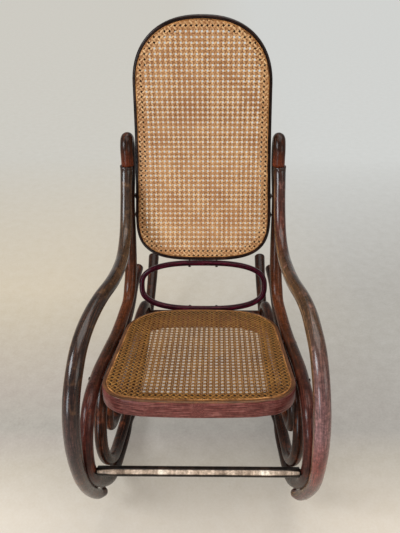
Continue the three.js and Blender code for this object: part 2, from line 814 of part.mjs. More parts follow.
function backCane(outline) {
  const edge = insetOutline(outline, backGrooveInset + grooveWidth + reedCrown);
  const { gaps, firstBar, rows } = netGaps(insetOutline(edge, caneBar / 2), backLength);
  const lines = [];
  for (let i = 0; i <= rows; i += 1) {
    lines.push(THREE.MathUtils.clamp(firstBar + i * canePitch, 0, backLength));
  }
  const face = (proud) => lines.map((s) => {
    const point = onBack(0, s, proud);
    return new THREE.Vector2(point.y, point.z);
  });
  const outerFace = face(bentCaneLift + caneThickness).reverse();
  const profile = new THREE.Shape([...face(bentCaneLift), ...outerFace]);
  const band = new THREE.ExtrudeGeometry(profile, { depth: 2 * backHalf, bevelEnabled: false });
  band.applyMatrix4(new THREE.Matrix4().makeBasis(
    new THREE.Vector3(0, 1, 0),
    new THREE.Vector3(0, 0, 1),
    new THREE.Vector3(1, 0, 0),
  ));
  band.translate(-backHalf, 0, 0);
  const sheet = toManifold(turnedOut(bareGeometry(band)))
    .intersect(toManifold(throughBack([upright(edge)])))
    .subtract(toManifold(throughBack(gaps.map(upright))));
  return fromManifold(sheet);
}

function addPanels() {
  const seat = seatOutline();
  const seatSection = rimSection(seatRimWidth, seatRimHeight, seatRimRound, seatGrooveInset);
  add('seat_frame', ringAlong(seat, seatSection, onSeat), redWalnut);
  add('seat_reed', ringAlong(seat, reedSection(seatGrooveInset), onSeat), reed);
  add('seat_cane', seatCane(seat), goldenCane);
  const back = backOutline();
  const backSection = rimSection(backRimWidth, backRimThickness, backRimRound, backGrooveInset);
  add('back_frame', ringAlong(back, backSection, onBack), walnut);
  add('back_reed', ringAlong(back, reedSection(backGrooveInset), onBack), reed);
  add('back_cane', backCane(back), paleCane);
}

function addHoop() {
  const outline = [];
  for (let i = 0; i < hoopSteps; i += 1) {
    const angle = 2 * Math.PI * (i + 0.5) / hoopSteps;
    const point = superPoint(hoopHalf, hoopHeight / 2, hoopPower, angle);
    outline.push(new THREE.Vector2(point.x, point.y + hoopHeight / 2));
  }
  const [w, d] = [hoopRimWidth, hoopRimDepth / 2];
  const c = hoopRimWidth / 4;
  const section = [
    [c, -d], [0, c - d], [0, d - c], [c, d], [w - c, d], [w, d - c], [w, c - d], [w - c, -d],
  ];
  add('lumbar_hoop', ringAlong(outline, section, onHoop), burgundy);
  sideNames.forEach(([label, side]) => {
    const x = side * hoopScrewX;
    const rise = backCurve.getTangentAt(0);
    const tilt = rise.angleTo(hoopAlong);
    const rim = hoopRimWidth / 2 / Math.cos(tilt) + screwHeadRadius * Math.tan(tilt);
    const under = hoopHead.clone().addScaledVector(rise, -rim - lapGap);
    under.x = x;
    const topNodes = ['lumbar_hoop', 'back_frame'];
    addScrew(`hoop_top_screw_${label}`, under, rise, rim + hoopRimWidth / 2 + screwGrip, topNodes);
    // The foot screws are driven level, which takes them under the cane's groove.
    const forward = new THREE.Vector3(0, -1, 0);
    const behind = hoopFoot.clone().addScaledVector(forward, -hoopRimDepth / 2 - 2 * lapGap);
    behind.x = x;
    const footNodes = ['lumbar_hoop', 'seat_frame'];
    addScrew(`hoop_foot_screw_${label}`, behind, forward, hoopRimDepth + screwGrip, footNodes);
  });
}

sideNames.forEach(([label, side]) => buildSide(label, side));
addPanels();
addHoop();
sideNames.forEach(([label, side]) => addSideJoints(label, side));
addStretcher('front_stretcher', frontStretcherShares, 'main', 'side_rod', paleBeech);
addStretcher('rear_stretcher', rearStretcherShares, 'scroll', 'scroll', walnut);

for (const [name, { geometry, material }] of Object.entries(solids)) {
  const tools = cuts[name] || [];
  const cutSolid = () => tools.reduce(
    (solid, tool) => solid.subtract(toManifold(tool)),
    toManifold(geometry),
  );
  const shaped = tools.length ? fromManifold(cutSolid()) : geometry;
  const mesh = new THREE.Mesh(shaped, material);
  mesh.name = name;
  group.add(mesh);
}

// The chair's box stands centred over the origin.
const box = new THREE.Box3().setFromObject(group);
group.position.y = -(box.min.y + box.max.y) / 2;

export default group;
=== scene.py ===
import json
import math
import bpy
import numpy as np
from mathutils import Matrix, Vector, kdtree

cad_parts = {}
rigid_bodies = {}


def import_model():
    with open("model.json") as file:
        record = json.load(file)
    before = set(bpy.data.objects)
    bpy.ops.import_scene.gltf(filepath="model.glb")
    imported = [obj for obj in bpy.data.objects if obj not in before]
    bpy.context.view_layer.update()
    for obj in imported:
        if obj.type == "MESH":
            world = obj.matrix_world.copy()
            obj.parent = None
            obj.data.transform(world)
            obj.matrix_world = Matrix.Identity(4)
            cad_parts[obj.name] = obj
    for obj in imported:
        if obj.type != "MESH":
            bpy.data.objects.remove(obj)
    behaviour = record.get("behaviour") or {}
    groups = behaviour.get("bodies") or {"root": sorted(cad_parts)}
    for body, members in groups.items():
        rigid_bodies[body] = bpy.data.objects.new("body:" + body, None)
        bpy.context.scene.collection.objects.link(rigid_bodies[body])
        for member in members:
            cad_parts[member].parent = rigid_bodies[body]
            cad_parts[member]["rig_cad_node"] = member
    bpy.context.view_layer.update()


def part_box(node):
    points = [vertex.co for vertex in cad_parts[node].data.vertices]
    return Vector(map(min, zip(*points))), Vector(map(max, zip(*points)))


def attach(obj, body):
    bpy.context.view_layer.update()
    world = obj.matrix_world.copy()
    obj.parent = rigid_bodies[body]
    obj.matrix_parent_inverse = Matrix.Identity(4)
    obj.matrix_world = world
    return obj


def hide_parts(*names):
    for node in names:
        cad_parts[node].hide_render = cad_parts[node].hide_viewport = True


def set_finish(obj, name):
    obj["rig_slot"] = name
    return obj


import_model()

# Lengths are in millimetres, in the frame of the CAD source, and become metres when they are placed.
millimetre = 0.001
frameShift = -9.9066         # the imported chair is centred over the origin
weldReach = 0.00002          # metres: points closer than this become one


def toMetres(x, y, z):
    return Vector((x * millimetre, (y + frameShift) * millimetre, z * millimetre))


def lerp(start, end, share):
    return start + (end - start) * share


def clearSelection():
    if bpy.context.object and bpy.context.object.mode != "OBJECT":
        bpy.ops.object.mode_set(mode="OBJECT")
    bpy.ops.object.select_all(action="DESELECT")


def keepAttribute(mesh, name, kind, values):
    # each attribute is filled before the next one is added
    attribute = mesh.attributes.new(name, kind, "POINT")
    field = "vector" if kind == "FLOAT_VECTOR" else "value"
    attribute.data.foreach_set(field, np.array(values, float).ravel())


def finishPiece(piece, name, slotName, node):
    piece.name = name
    piece.data.name = name
    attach(piece, "root")
    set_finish(piece, slotName)
    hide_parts(node)


# Curves

endCap = {"bluntness": 0.55, "rings": 5, "closing": 0.97}
leastLeg = 0.0001            # two points in one place still count as a leg of this length


def easedPoint(before, start, end, after, share):
    # a point of the centripetal curve through start and end
    legs = ((before, start), (start, end), (end, after))
    gaps = [max((b - a).length_squared ** 0.25, leastLeg) for a, b in legs]
    leave = (start - before) / gaps[0] - (end - before) / (gaps[0] + gaps[1]) + (end - start) / gaps[1]
    arrive = (end - start) / gaps[1] - (after - start) / (gaps[1] + gaps[2]) + (after - end) / gaps[2]
    leave *= gaps[1]
    arrive *= gaps[1]
    square = -3 * start + 3 * end - 2 * leave - arrive
    cube = 2 * start - 2 * end + leave + arrive
    return start + share * (leave + share * (square + share * cube))


def smoothPath(points, spacing):
    # points are (place, radius); the path comes back as evenly spaced (place, radius)
    places = [Vector(place) for place, radius in points]
    radii = [radius for place, radius in points]
    ends = [2 * places[0] - places[1]] + places + [2 * places[-1] - places[-2]]
    path = []
    for i in range(len(places) - 1):
        steps = max(2, math.ceil((places[i + 1] - places[i]).length / spacing))
        for step in range(steps):
            share = step / steps
            path.append((easedPoint(*ends[i:i + 4], share), lerp(radii[i], radii[i + 1], share)))
    path.append((places[-1], radii[-1]))
    return path


def roundedEnd(path, atStart):
    # the path with a blunt round end added to it
    end, inner = (path[0], path[1]) if atStart else (path[-1], path[-2])
    outward = (end[0] - inner[0]).normalized()
    cap = []
    for i in range(1, endCap["rings"] + 1):
        turn = i / endCap["rings"] * math.pi / 2 * endCap["closing"]
        reach = outward * end[1] * endCap["bluntness"] * math.sin(turn)
        cap.append((end[0] + reach, end[1] * math.cos(turn)))
    return list(reversed(cap)) + path if atStart else path + cap


# Rods

def faceOutward(weld=False):
    bpy.ops.object.mode_set(mode="EDIT")
    bpy.ops.mesh.select_all(action="SELECT")
    if weld:
        bpy.ops.mesh.remove_doubles(threshold=weldReach)
    bpy.ops.mesh.normals_make_consistent(inside=False)
    bpy.ops.object.mode_set(mode="OBJECT")


def bentRod(path, sides=24):
    # a bent rod: a path with a round bevel, made a mesh that remembers how its grain runs
    clearSelection()
    bpy.ops.curve.primitive_nurbs_path_add()
    rod = bpy.context.object
    spline = rod.data.splines[0]
    spline.type = "POLY"
    spline.points.add(len(path) - len(spline.points))
    for point, (place, radius) in zip(spline.points, path):
        point.co = (*toMetres(*place), 1)
        point.radius = radius
    rod.data.dimensions = "3D"
    rod.data.twist_mode = "MINIMUM"
    rod.data.bevel_depth = millimetre
    # such a bevel has 4 + 2 * resolution sides
    rod.data.bevel_resolution = (sides - 4) // 2
    rod.data.use_fill_caps = True
    bpy.ops.object.convert(target="MESH")
    rod = bpy.context.object
    faceOutward(weld=True)
    bpy.ops.object.shade_smooth()
    markGrain(rod, path)
    return rod


def markGrain(rod, path):
    places = [toMetres(*place) for place, radius in path]
    finder = kdtree.KDTree(len(places))
    for i, place in enumerate(places):
        finder.insert(place, i)
    finder.balance()
    runs = [0.0]
    for a, b in zip(places, places[1:]):
        runs.append(runs[-1] + (b - a).length)
    grain, along = [], []
    for vertex in rod.data.vertices:
        nearest = finder.find(vertex.co)[1]
        ahead = (places[min(nearest + 1, len(places) - 1)] - places[max(nearest - 1, 0)]).normalized()
        across = Vector((1, 0, 0)) - ahead * ahead.x
        across.normalize()
        up = across.cross(ahead)
        offset = vertex.co - places[nearest]
        run = runs[nearest] + offset.dot(ahead)
        grain.append((offset.dot(across), offset.dot(up), run))
        along.append(run / runs[-1])
    keepAttribute(rod.data, "grain", "FLOAT_VECTOR", grain)
    keepAttribute(rod.data, "along", "FLOAT", along)


# The side frames

side = {
    "uprightX": 207.9, "railX": 236.498, "spacing": 8,
    "rockerRadius": 1230, "rockerContact": -106, "footFlat": 40, "footEnds": ((-1, 0.55), (1, 0.3)),
    # radii of the rods along their parts, and where the runner thickens to its tail
    "crook": 16.5, "upright": 17, "rail": 15.5, "curl": 15, "runner": 15.5, "tail": 19,
    "tailRun": (300, 525), "scroll": 15, "scrollTip": 12.5,
    # the arm starts under the crook, a little further out than the crook's own rod
    "armStep": 4, "armGap": 0.6, "armStart": (0, -1.3, -11.7),
    # space between lapped rods, and how much longer a drop below the sloping rail is
    "lap": 1.4, "slopeAllowance": 1.025,
}

# each point: its share of the way from uprightX to railX, its place along the chair, its height
crookPoints = [
    (-0.15, 149, 708), (-0.15, 151.5, 728), (-0.15, 155.5, 752), (-0.15, 172, 772),
    (-0.15, 192, 767), (-0.14, 200.5, 745),
]
uprightPoints = [
    (-0.1, 190, 690), (0, 145, 608), (-0.05, 100, 500), (-0.03, 67, 420), (0.06, 41, 380),
]
railPoints = [
    (0.15, 10, 358), (0.32, -36, 349.5), (0.56, -120, 348.5), (0.82, -212, 362),
    (0.98, -280, 374), (1, -333, 383), (1, -372, 388), (1.01, -412, 381),
]
curlPoints = [
    (1.05, -445.5, 352), (1.12, -462, 310), (1.13, -468.5, 265), (1.11, -458, 218),
    (1.05, -427.5, 155), (0.9, -390, 103), (0.82, -353, 65.5), (0.77, -310, 41.5),
]
runnerPoints = [
    (0.72, -250), (0.55, -170), (0.3, 0), (0.1, 100), (-0.05, 200), (-0.14, 290), (-0.2, 380),
    (-0.23, 460), (-0.23, 525),
]
# after those three the arms' points have a radius, and how far they sway to the right on both sides
armPoints = [
    (0, 128, 666, 15.5, 0), (-0.03, 99, 629, 15.5, 0), (-0.04, 37, 563, 15.5, 1),
    (-0.03, -32, 540, 15.5, 3), (-0.04, -101.5, 545, 15.8, 5), (0.08, -188.4, 560, 16.1, 6),
    (0.46, -260.8, 570, 16.5, 6), (0.73, -312.7, 570, 17, 5), (0.9, -367.7, 565, 17.3, 3),
    (1.05, -411.3, 550, 17.5, 2), (1.17, -450.3, 520, 17.5, 1), (1.3, -477.8, 480, 17.5, 0),
    (1.4, -496.7, 430, 17.5, 0), (1.5, -503.4, 363, 17.1, 0), (1.6, -496, 285, 15.3, 0),
    (1.68, -475, 213, 14.9, 0), (1.6, -441, 134, 14.1, -2), (1.34, -409, 77, 12.9, -3),
    (1.12, -394, 62.5, 11.9, -3),
]
knobPoints = [(-0.16, 174, 362), (0.06, 110, 348), (0.15, 30, 326)]
underRailPoints = [(0.3, -50), (0.42, -120), (0.7, -205)]
scrollFrontPoints = [
    (0.85, -263, 328), (0.92, -308, 312), (0.95, -347, 273), (0.93, -371, 218),
    (0.88, -364.5, 163), (0.82, -337, 115), (0.79, -294, 76.5),
]
onRunnerPoints = [(0.76, -225), (0.55, -140), (0.38, -40), (0.28, 20)]
scrollRearPoints = [
    (0.12, 90, 69.5), (-0.08, 160, 89), (-0.25, 214, 117), (-0.32, 236, 155),
    (-0.28, 217, 186), (-0.12, 168, 197.5), (0.12, 80, 194), (0.4, -70, 172),
    (0.62, -200, 161),
]
scrollTipPoints = [
    (0.7, -250, 164.5), (0.73, -286, 182), (0.74, -301, 212), (0.72, -291, 252),
    (0.66, -258, 282.5),
]
scrollEndPoints = [(0.58, -215), (0.54, -185)]


def acrossTo(hand, share):
    return hand * lerp(side["uprightX"], side["railX"], share)


def rockerHeight(y, lift):
    reach = max(0, abs(y - side["rockerContact"]) - side["footFlat"] / 2)
    return side["rockerRadius"] - math.sqrt((side["rockerRadius"] - lift) ** 2 - reach ** 2)


def railHeight(y):
    for (_, y0, z0), (_, y1, z1) in zip(railPoints, railPoints[1:]):
        if y1 <= y <= y0:
            return lerp(z0, z1, (y - y0) / (y1 - y0))
    return railPoints[0][2]


def placed(hand, points, radius):
    return [((acrossTo(hand, a), y, z), radius) for a, y, z in points]


def sidePath(hand):
    start, finish = side["tailRun"]
    runner = []
    for a, y in runnerPoints:
        radius = lerp(side["runner"], side["tail"], max(0, (y - start) / (finish - start)))
        runner.append(((acrossTo(hand, a), y, rockerHeight(y, radius)), radius))
    foot = []
    for end, a in side["footEnds"]:
        y = side["rockerContact"] + end * side["footFlat"] / 2
        foot.append(((acrossTo(hand, a), y, side["runner"]), side["runner"]))
    points = placed(hand, crookPoints, side["crook"]) + placed(hand, uprightPoints, side["upright"])
    points += placed(hand, railPoints, side["rail"]) + placed(hand, curlPoints, side["curl"])
    points += runner[:2] + foot + runner[2:]
    return smoothPath(points, side["spacing"])


def armPath(hand):
    crookShare, crookY, crookZ = crookPoints[0]
    crookX = acrossTo(hand, crookShare) + hand * side["armStep"]
    top = Vector((crookX, crookY, crookZ - side["armGap"]))
    points = [(top, side["crook"]), (top + Vector(side["armStart"]), side["crook"])]
    points += [((acrossTo(hand, a) + sway, y, z), radius) for a, y, z, radius, sway in armPoints]
    return smoothPath(points, side["spacing"])


def scrollPath(hand):
    def belowRail(points, drop, radius):
        fall = drop * side["slopeAllowance"]
        return [((acrossTo(hand, a), y, railHeight(y) - fall), radius) for a, y in points]

    scroll, tip = side["scroll"], side["scrollTip"]
    underRail = side["rail"] + scroll + side["lap"]
    underScroll = underRail + scroll + tip + side["lap"]
    onRunner = 2 * side["runner"] + scroll + side["lap"]
    points = placed(hand, knobPoints, scroll) + belowRail(underRailPoints, underRail, scroll)
    points += placed(hand, scrollFrontPoints, scroll)
    points += [((acrossTo(hand, a), y, rockerHeight(y, onRunner)), scroll) for a, y in onRunnerPoints]
    points += placed(hand, scrollRearPoints, scroll) + placed(hand, scrollTipPoints, tip)
    points += belowRail(scrollEndPoints, underScroll, tip)
    return smoothPath(points, side["spacing"])


hands = {"left": -1, "right": 1}
sideRods = {}
for label, hand in hands.items():
    paths = {"side_rod": sidePath(hand), "arm": armPath(hand), "scroll": scrollPath(hand)}
    sideRods[label] = paths
    rods = (
        ("side_rod", roundedEnd(paths["side_rod"], False), "dark_wood"),
        ("arm", roundedEnd(paths["arm"], False), "worn_wood"),
        ("scroll", roundedEnd(roundedEnd(paths["scroll"], True), False), "dark_wood"),
    )
    for kind, path, slotName in rods:
        finishPiece(bentRod(path), f"{kind}_{label}_bentwood", slotName, f"{kind}_{label}")
print("side frames bent")


# Panels: outlines and surfaces

seat = {
    "frontY": -430, "frontZ": 420, "slope": math.radians(11.1), "depth": 441,
    "frontHalf": 216, "rearHalf": 204, "frontCorner": 76, "rearCorner": 118, "cornerSteps": 18,
    "frontBow": 9, "rearBow": 6, "bowShare": 0.6,
    "frontShares": (0.1, 0.3, 0.5, 0.7, 0.88), "rearShares": (0.85, 0.6, 0.35, 0.1),
    "rimThickness": 41, "rimWidth": 34, "rimRound": 5, "groove": 9,
    "sag": 4, "strandWidths": (2.5, 2.8),
}
back = {
    "height": 1075.5, "half": 187.7, "topHalf": 178.2, "topArch": 171, "footArch": 140,
    "topPower": 2.3, "footPower": 3.3, "archSteps": 22, "edgeSteps": 24, "spacing": 4,
    "rimThickness": 18, "rimWidth": 28, "rimRound": 4, "groove": 8,
    "strandWidths": (3.2, 4.2),
}
# shares of the back's height: how far to the rear, and how high
backProfile = [
    (0.0511, 0.4333), (0.0911, 0.5021), (0.1237, 0.5709), (0.1469, 0.6509), (0.1609, 0.7345),
    (0.1655, 0.8182), (0.1692, 0.9112), (0.1716, 1),
]


def superPoint(half, reach, power, angle):
    # a point of a rounded rectangle: the higher the power, the squarer its corners
    cosine, sine = math.cos(angle), math.sin(angle)
    x = half * math.copysign(abs(cosine) ** (2 / power), cosine)
    return x, reach * math.copysign(abs(sine) ** (2 / power), sine)


def mirrored(rightSide):
    return rightSide + [(-x, s) for x, s in reversed(rightSide)]


def backArch(half, reach, power, middle, turn):
    points = []
    for i in range(back["archSteps"]):
        x, s = superPoint(half, reach, power, turn * math.pi / 2 * (i + 0.5) / back["archSteps"])
        points.append((x, middle + s))
    return points[::-1] if turn < 0 else points


backPoints = [((0, y * back["height"], z * back["height"]), 1) for y, z in backProfile]
backPath = [place for place, radius in smoothPath(backPoints, back["spacing"])]
backRuns = [0.0]
for a, b in zip(backPath, backPath[1:]):
    backRuns.append(backRuns[-1] + (b - a).length)
back["length"] = backRuns[-1]
backRuns = np.array(backRuns)
backY = np.array([place.y for place in backPath])
backZ = np.array([place.z for place in backPath])
backSlopeY = np.gradient(backY, backRuns)
backSlopeZ = np.gradient(backZ, backRuns)


def onBack(x, s, proud):
    s = np.clip(s, 0, back["length"])
    slopeY, slopeZ = np.interp(s, backRuns, backSlopeY), np.interp(s, backRuns, backSlopeZ)
    y = np.interp(s, backRuns, backY) - proud * slopeZ
    return x, y, np.interp(s, backRuns, backZ) + proud * slopeY


def onSeat(x, s, proud):
    y = seat["frontY"] + s * math.cos(seat["slope"]) + proud * math.sin(seat["slope"])
    return x, y, seat["frontZ"] - s * math.sin(seat["slope"]) + proud * math.cos(seat["slope"])


def backOutline():
    middle, steps = back["length"] - back["topArch"], back["edgeSteps"]
    straight = []
    for i in range(steps + 1):
        half = lerp(back["half"], back["topHalf"], i / steps)
        straight.append((half, lerp(back["footArch"], middle, i / steps)))
    foot = backArch(back["half"], back["footArch"], back["footPower"], back["footArch"], -1)
    top = backArch(back["topHalf"], back["topArch"], back["topPower"], middle, 1)
    return mirrored(foot + straight + top)


def seatOutline():
    frontX, rearX = seat["frontHalf"] - seat["frontCorner"], seat["rearHalf"] - seat["rearCorner"]
    frontS = seat["frontBow"] + seat["frontCorner"]
    rearS = seat["depth"] - seat["rearBow"] - seat["rearCorner"]
    frontTurn = math.atan2(seat["frontBow"], frontX) * 2
    rearTurn = math.atan2(seat["rearBow"], rearX) * 2
    lean = math.atan2(seat["frontHalf"] - seat["rearHalf"], seat["depth"])
    quarter = math.pi / 2
    corners = (
        (frontX, frontS, seat["frontCorner"], frontTurn - quarter, lean),
        (rearX, rearS, seat["rearCorner"], lean, quarter - rearTurn),
    )
    points = []
    for share in seat["frontShares"]:
        points.append((frontX * share, seat["frontBow"] * share ** 2 * seat["bowShare"]))
    for centreX, centreS, radius, start, end in corners:
        for i in range(seat["cornerSteps"] + 1):
            angle = lerp(start, end, i / seat["cornerSteps"])
            points.append((centreX + radius * math.cos(angle), centreS + radius * math.sin(angle)))
    for share in seat["rearShares"]:
        points.append((rearX * share, seat["depth"] - seat["rearBow"] * share ** 2 * seat["bowShare"]))
    return mirrored(points)


def insetOutline(outline, inward):
    count = len(outline)
    moved = []
    for i in range(count):
        here, last, following = Vector(outline[i]), Vector(outline[i - 1]), Vector(outline[(i + 1) % count])
        before, after = (here - last).normalized(), (following - here).normalized()
        normal = Vector((-before.y - after.y, before.x + after.x)).normalized()
        reach = inward / (normal.x * -before.y + normal.y * before.x)
        moved.append(tuple(here + normal * reach))
    return moved


ring = {"softAngle": 40, "cornerSteps": 4}


def bentRing(outline, section, surface):
    # a ring bent round an outline: a torus whose section is given as (inward, proud)
    clearSelection()
    count, sides = len(outline), len(section)
    bpy.ops.mesh.primitive_torus_add(major_segments=count, minor_segments=sides)
    body = bpy.context.object
    grain, along = [], []
    rails = [insetOutline(outline, inward) for inward, proud in section]
    run = 0.0
    whole = sum((Vector(outline[i]) - Vector(outline[i - 1])).length for i in range(count))
    for i in range(count):
        for j, (inward, proud) in enumerate(section):
            body.data.vertices[i * sides + j].co = toMetres(*surface(*rails[j][i], proud))
            grain.append((inward * millimetre, proud * millimetre, run * millimetre))
            along.append(run / whole)
        run += (Vector(outline[(i + 1) % count]) - Vector(outline[i])).length
    keepAttribute(body.data, "grain", "FLOAT_VECTOR", grain)
    keepAttribute(body.data, "along", "FLOAT", along)
    faceOutward()
    bpy.ops.object.shade_smooth_by_angle(angle=math.radians(ring["softAngle"]))
    return body


def cornerBend(inward, proud, radius, start, end):
    # section points round one corner, from one angle to the other, in degrees
    points = []
    for i in range(ring["cornerSteps"] + 1):
        angle = math.radians(lerp(start, end, i / ring["cornerSteps"]))
        points.append((inward + radius * math.cos(angle), proud + radius * math.sin(angle)))
    return points


cane = {
    "grooveWidth": 4, "grooveDepth": 6, "grooveLip": 0.8,
    "reedCrown": 1.6, "reedShoulder": 0.35, "reedPlay": 0.3, "reedStep": 30,
    "pitch": 13, "spread": 1.95, "strandThickness": 0.45, "shortestStrand": 19.5,
    "lift": 1.2, "edgeInset": 1.6, "tuck": 1.2, "tuckDepths": (0.9, 0.2), "clearOfEdge": 2.2,
    # the straight pairs take the darker tones as painted shade, the slanting strands the lighter tones as
    # painted highlight
    "shadedStraightTones": (0, 0.6), "litSlantTones": (0.6, 1), "softAngle": 50,
    # rows and crossings are counted past both panels: what lies outside a panel is left out
    "straightRows": (-60, 90), "slantRows": (-90, 120), "slantCrossings": (-160, 200),
}


def rimSection(width, thickness, rounding, inset):
    lip, depth, far = cane["grooveLip"], cane["grooveDepth"], inset + cane["grooveWidth"]
    half = rounding / 2
    outer = cornerBend(rounding, -rounding, rounding, 180, 90)
    groove = [(inset - lip, 0), (inset, -lip), (inset, -depth), (far, -depth), (far, -lip), (far + lip, 0)]
    inner = cornerBend(width - half, -half, half, 90, 0)
    innerFoot = cornerBend(width - half, half - thickness, half, 0, -90)
    outerFoot = cornerBend(rounding, rounding - thickness, rounding, 270, 180)
    return outer + groove + inner + innerFoot + outerFoot


def reedSection(inset):
    play, shoulder = cane["reedPlay"], cane["reedShoulder"]
    inner, outer = inset + play, inset + cane["grooveWidth"] - play
    middle, half = (inner + outer) / 2, (outer - inner) / 2
    foot = play - cane["grooveDepth"]
    section = [(inner, foot)]
    for degrees in range(0, 181, cane["reedStep"]):
        angle = math.radians(degrees)
        crown = cane["reedCrown"] * (shoulder + (1 - shoulder) * math.sin(angle))
        section.append((middle - half * math.cos(angle), crown))
    return section + [(outer, foot)]


panels = (
    ("seat", seat, seatOutline(), onSeat, "red_wood"),
    ("back", back, backOutline(), onBack, "dark_wood"),
)
for label, panel, outline, surface, slotName in panels:
    rim = rimSection(panel["rimWidth"], panel["rimThickness"], panel["rimRound"], panel["groove"])
    reed = reedSection(panel["groove"])
    finishPiece(bentRing(outline, rim, surface), f"{label}_frame_bentwood", slotName, f"{label}_frame")
    finishPiece(bentRing(outline, reed, surface), f"{label}_reed_split", "reed", f"{label}_reed")
print("seat and back rings bent")


# Woven cane

def chord(outline, angle, across):
    # where a straight line over the panel enters and leaves its outline
    cosine, sine = math.cos(angle), math.sin(angle)
    hits = []
    for (x0, y0), (x1, y1) in zip(outline, outline[1:] + outline[:1]):
        before = -x0 * sine + y0 * cosine - across
        after = -x1 * sine + y1 * cosine - across
        if (before > 0) != (after > 0):
            share = before / (before - after)
            hits.append(lerp(x0 * cosine + y0 * sine, x1 * cosine + y1 * sine, share))
    return (min(hits), max(hits)) if len(hits) > 1 else None


scatterBy = {"number": 12.9898, "angle": 7.1, "spread": 43758.5453, "slantNumber": 500}


def scatter(number, angle):
    # a share from 0 to 1 that jumps from strand to strand and is the same on each run
    return math.sin(number * scatterBy["number"] + angle * scatterBy["angle"]) * scatterBy["spread"] % 1


def layStrand(strands, outline, angle, across, crossings, width, number, tones):
    # one strand of cane along a line of the panel; crossings are the (run, height) where it meets others
    ends = chord(outline, angle, across)
    if not ends or ends[1] - ends[0] < cane["shortestStrand"]:
        return
    start, finish = ends
    tuck, clear = cane["tuck"], cane["clearOfEdge"]
    deep, shallow = cane["tuckDepths"]
    stations = [(start, -deep), (start + tuck, -shallow)]
    stations += [(run, height) for run, height in crossings if start + clear < run < finish - clear]
    stations += [(finish - tuck, -shallow), (finish, -deep)]
    cosine, sine = math.cos(angle), math.sin(angle)
    half, quarter, rise = width / 2, width / 4, cane["strandThickness"] / 2
    section = [(-half, 0), (-quarter, rise), (quarter, rise), (half, 0), (quarter, -rise), (-quarter, -rise)]
    shade = lerp(*tones, scatter(number, angle))
    first, sides = len(strands["points"]), len(section)
    for run, height in stations:
        for offset, lift in section:
            a = across + offset
            strands["points"].append((run * cosine - a * sine, run * sine + a * cosine, height + lift))
            strands["grain"].append((offset, lift, run))
            strands["tone"].append(shade)
    for i in range(len(stations) - 1):
        for j in range(sides):
            a, b = first + i * sides + j, first + i * sides + (j + 1) % sides
            strands["faces"].append((a, a + sides, b + sides, b))
    strands["faces"].append(tuple(first + j for j in range(sides)))
    last = first + (len(stations) - 1) * sides
    strands["faces"].append(tuple(last + j for j in reversed(range(sides))))


def noStrands():
    return {"points": [], "faces": [], "grain": [], "tone": []}


def straightStrands(outline, angle, level, width):
    # pairs of strands one pitch apart, which go over and under the pairs that cross them
    strands = noStrands()
    pitch, spread, tones = cane["pitch"], cane["spread"], cane["shadedStraightTones"]
    rows = range(*cane["straightRows"])
    turned = -1 if angle else 1
    for row in rows:
        for mark in (-1, 1):
            rise = mark * turned * level * cane["strandThickness"] / 2
            crossings = []
            for crossed in rows:
                middle = (crossed + 0.5) * pitch
                crossings += [(middle - spread, rise), (middle + spread, -rise)]
            across = (row + 0.5) * pitch + mark * spread
            layStrand(strands, outline, angle, across, crossings, width, 2 * row + mark, tones)
    return strands


def slantStrands(outline, width):
    # strands at 45 degrees both ways, which meet a pair every half pitch: over one and under the next
    strands = noStrands()
    pitch, spread, root = cane["pitch"], cane["spread"], math.sqrt(2)
    for turn in (1, -1):
        angle = turn * math.pi / 4
        for row in range(*cane["slantRows"]):
            line = (row + 0.5) * pitch
            crossings = []
            for crossed in range(*cane["slantCrossings"]):
                rise = (turn if crossed % 2 else -turn) * cane["strandThickness"]
                for step in (-spread, spread):
                    x = crossed * pitch / 2 + step
                    crossings.append(((2 * x + turn * line) / root, rise))
            number = row + scatterBy["slantNumber"] * turn
            layStrand(strands, outline, angle, line / root, crossings, width, number, cane["litSlantTones"])
    return strands


def canePiece(strands, surface, lift, name, node):
    # each cane's slot in the record has the name of its node
    points = np.array(strands["points"])
    x, y, z = surface(points[:, 0], points[:, 1], points[:, 2] + lift(points[:, 0], points[:, 1]))
    places = np.stack([x, y + frameShift, z], 1) * millimetre
    mesh = bpy.data.meshes.new(name)
    mesh.from_pydata(places.tolist(), [], strands["faces"])
    keepAttribute(mesh, "grain", "FLOAT_VECTOR", np.array(strands["grain"]) * millimetre)
    keepAttribute(mesh, "tone", "FLOAT", strands["tone"])
    piece = bpy.data.objects.new(name, mesh)
    bpy.context.scene.collection.objects.link(piece)
    clearSelection()
    piece.select_set(True)
    bpy.context.view_layer.objects.active = piece
    faceOutward()
    bpy.ops.object.shade_smooth_by_angle(angle=math.radians(cane["softAngle"]))
    finishPiece(piece, name, node, node)


def seatLift(x, s):
    middle = (1 - (x / seat["frontHalf"]) ** 2) * (1 - (2 * s / seat["depth"] - 1) ** 2)
    return cane["lift"] - seat["sag"] * np.clip(middle, 0, 1)


def backLift(x, s):
    return cane["lift"]


lifts = {"seat": seatLift, "back": backLift}
for label, panel, outline, surface, slotName in panels:
    edge = insetOutline(outline, panel["groove"] + cane["edgeInset"])
    straightWidth, slantWidth = panel["strandWidths"]
    layers = {
        "upright": straightStrands(edge, math.pi / 2, 1, straightWidth),
        "cross": straightStrands(edge, 0, -1, straightWidth),
        "slanting": slantStrands(edge, slantWidth),
    }
    for kind, strands in layers.items():
        canePiece(strands, surface, lifts[label], f"{label}_cane_{kind}_strands", f"{label}_cane")
print("cane woven")


# Hoop and stretchers

hoop = {
    "half": 181, "width": 15, "depth": 20, "power": 2.7, "steps": 96, "sectionPower": 2.6, "sectionSteps": 20,
    "footDrop": 4.5, "lap": 0.6,
}


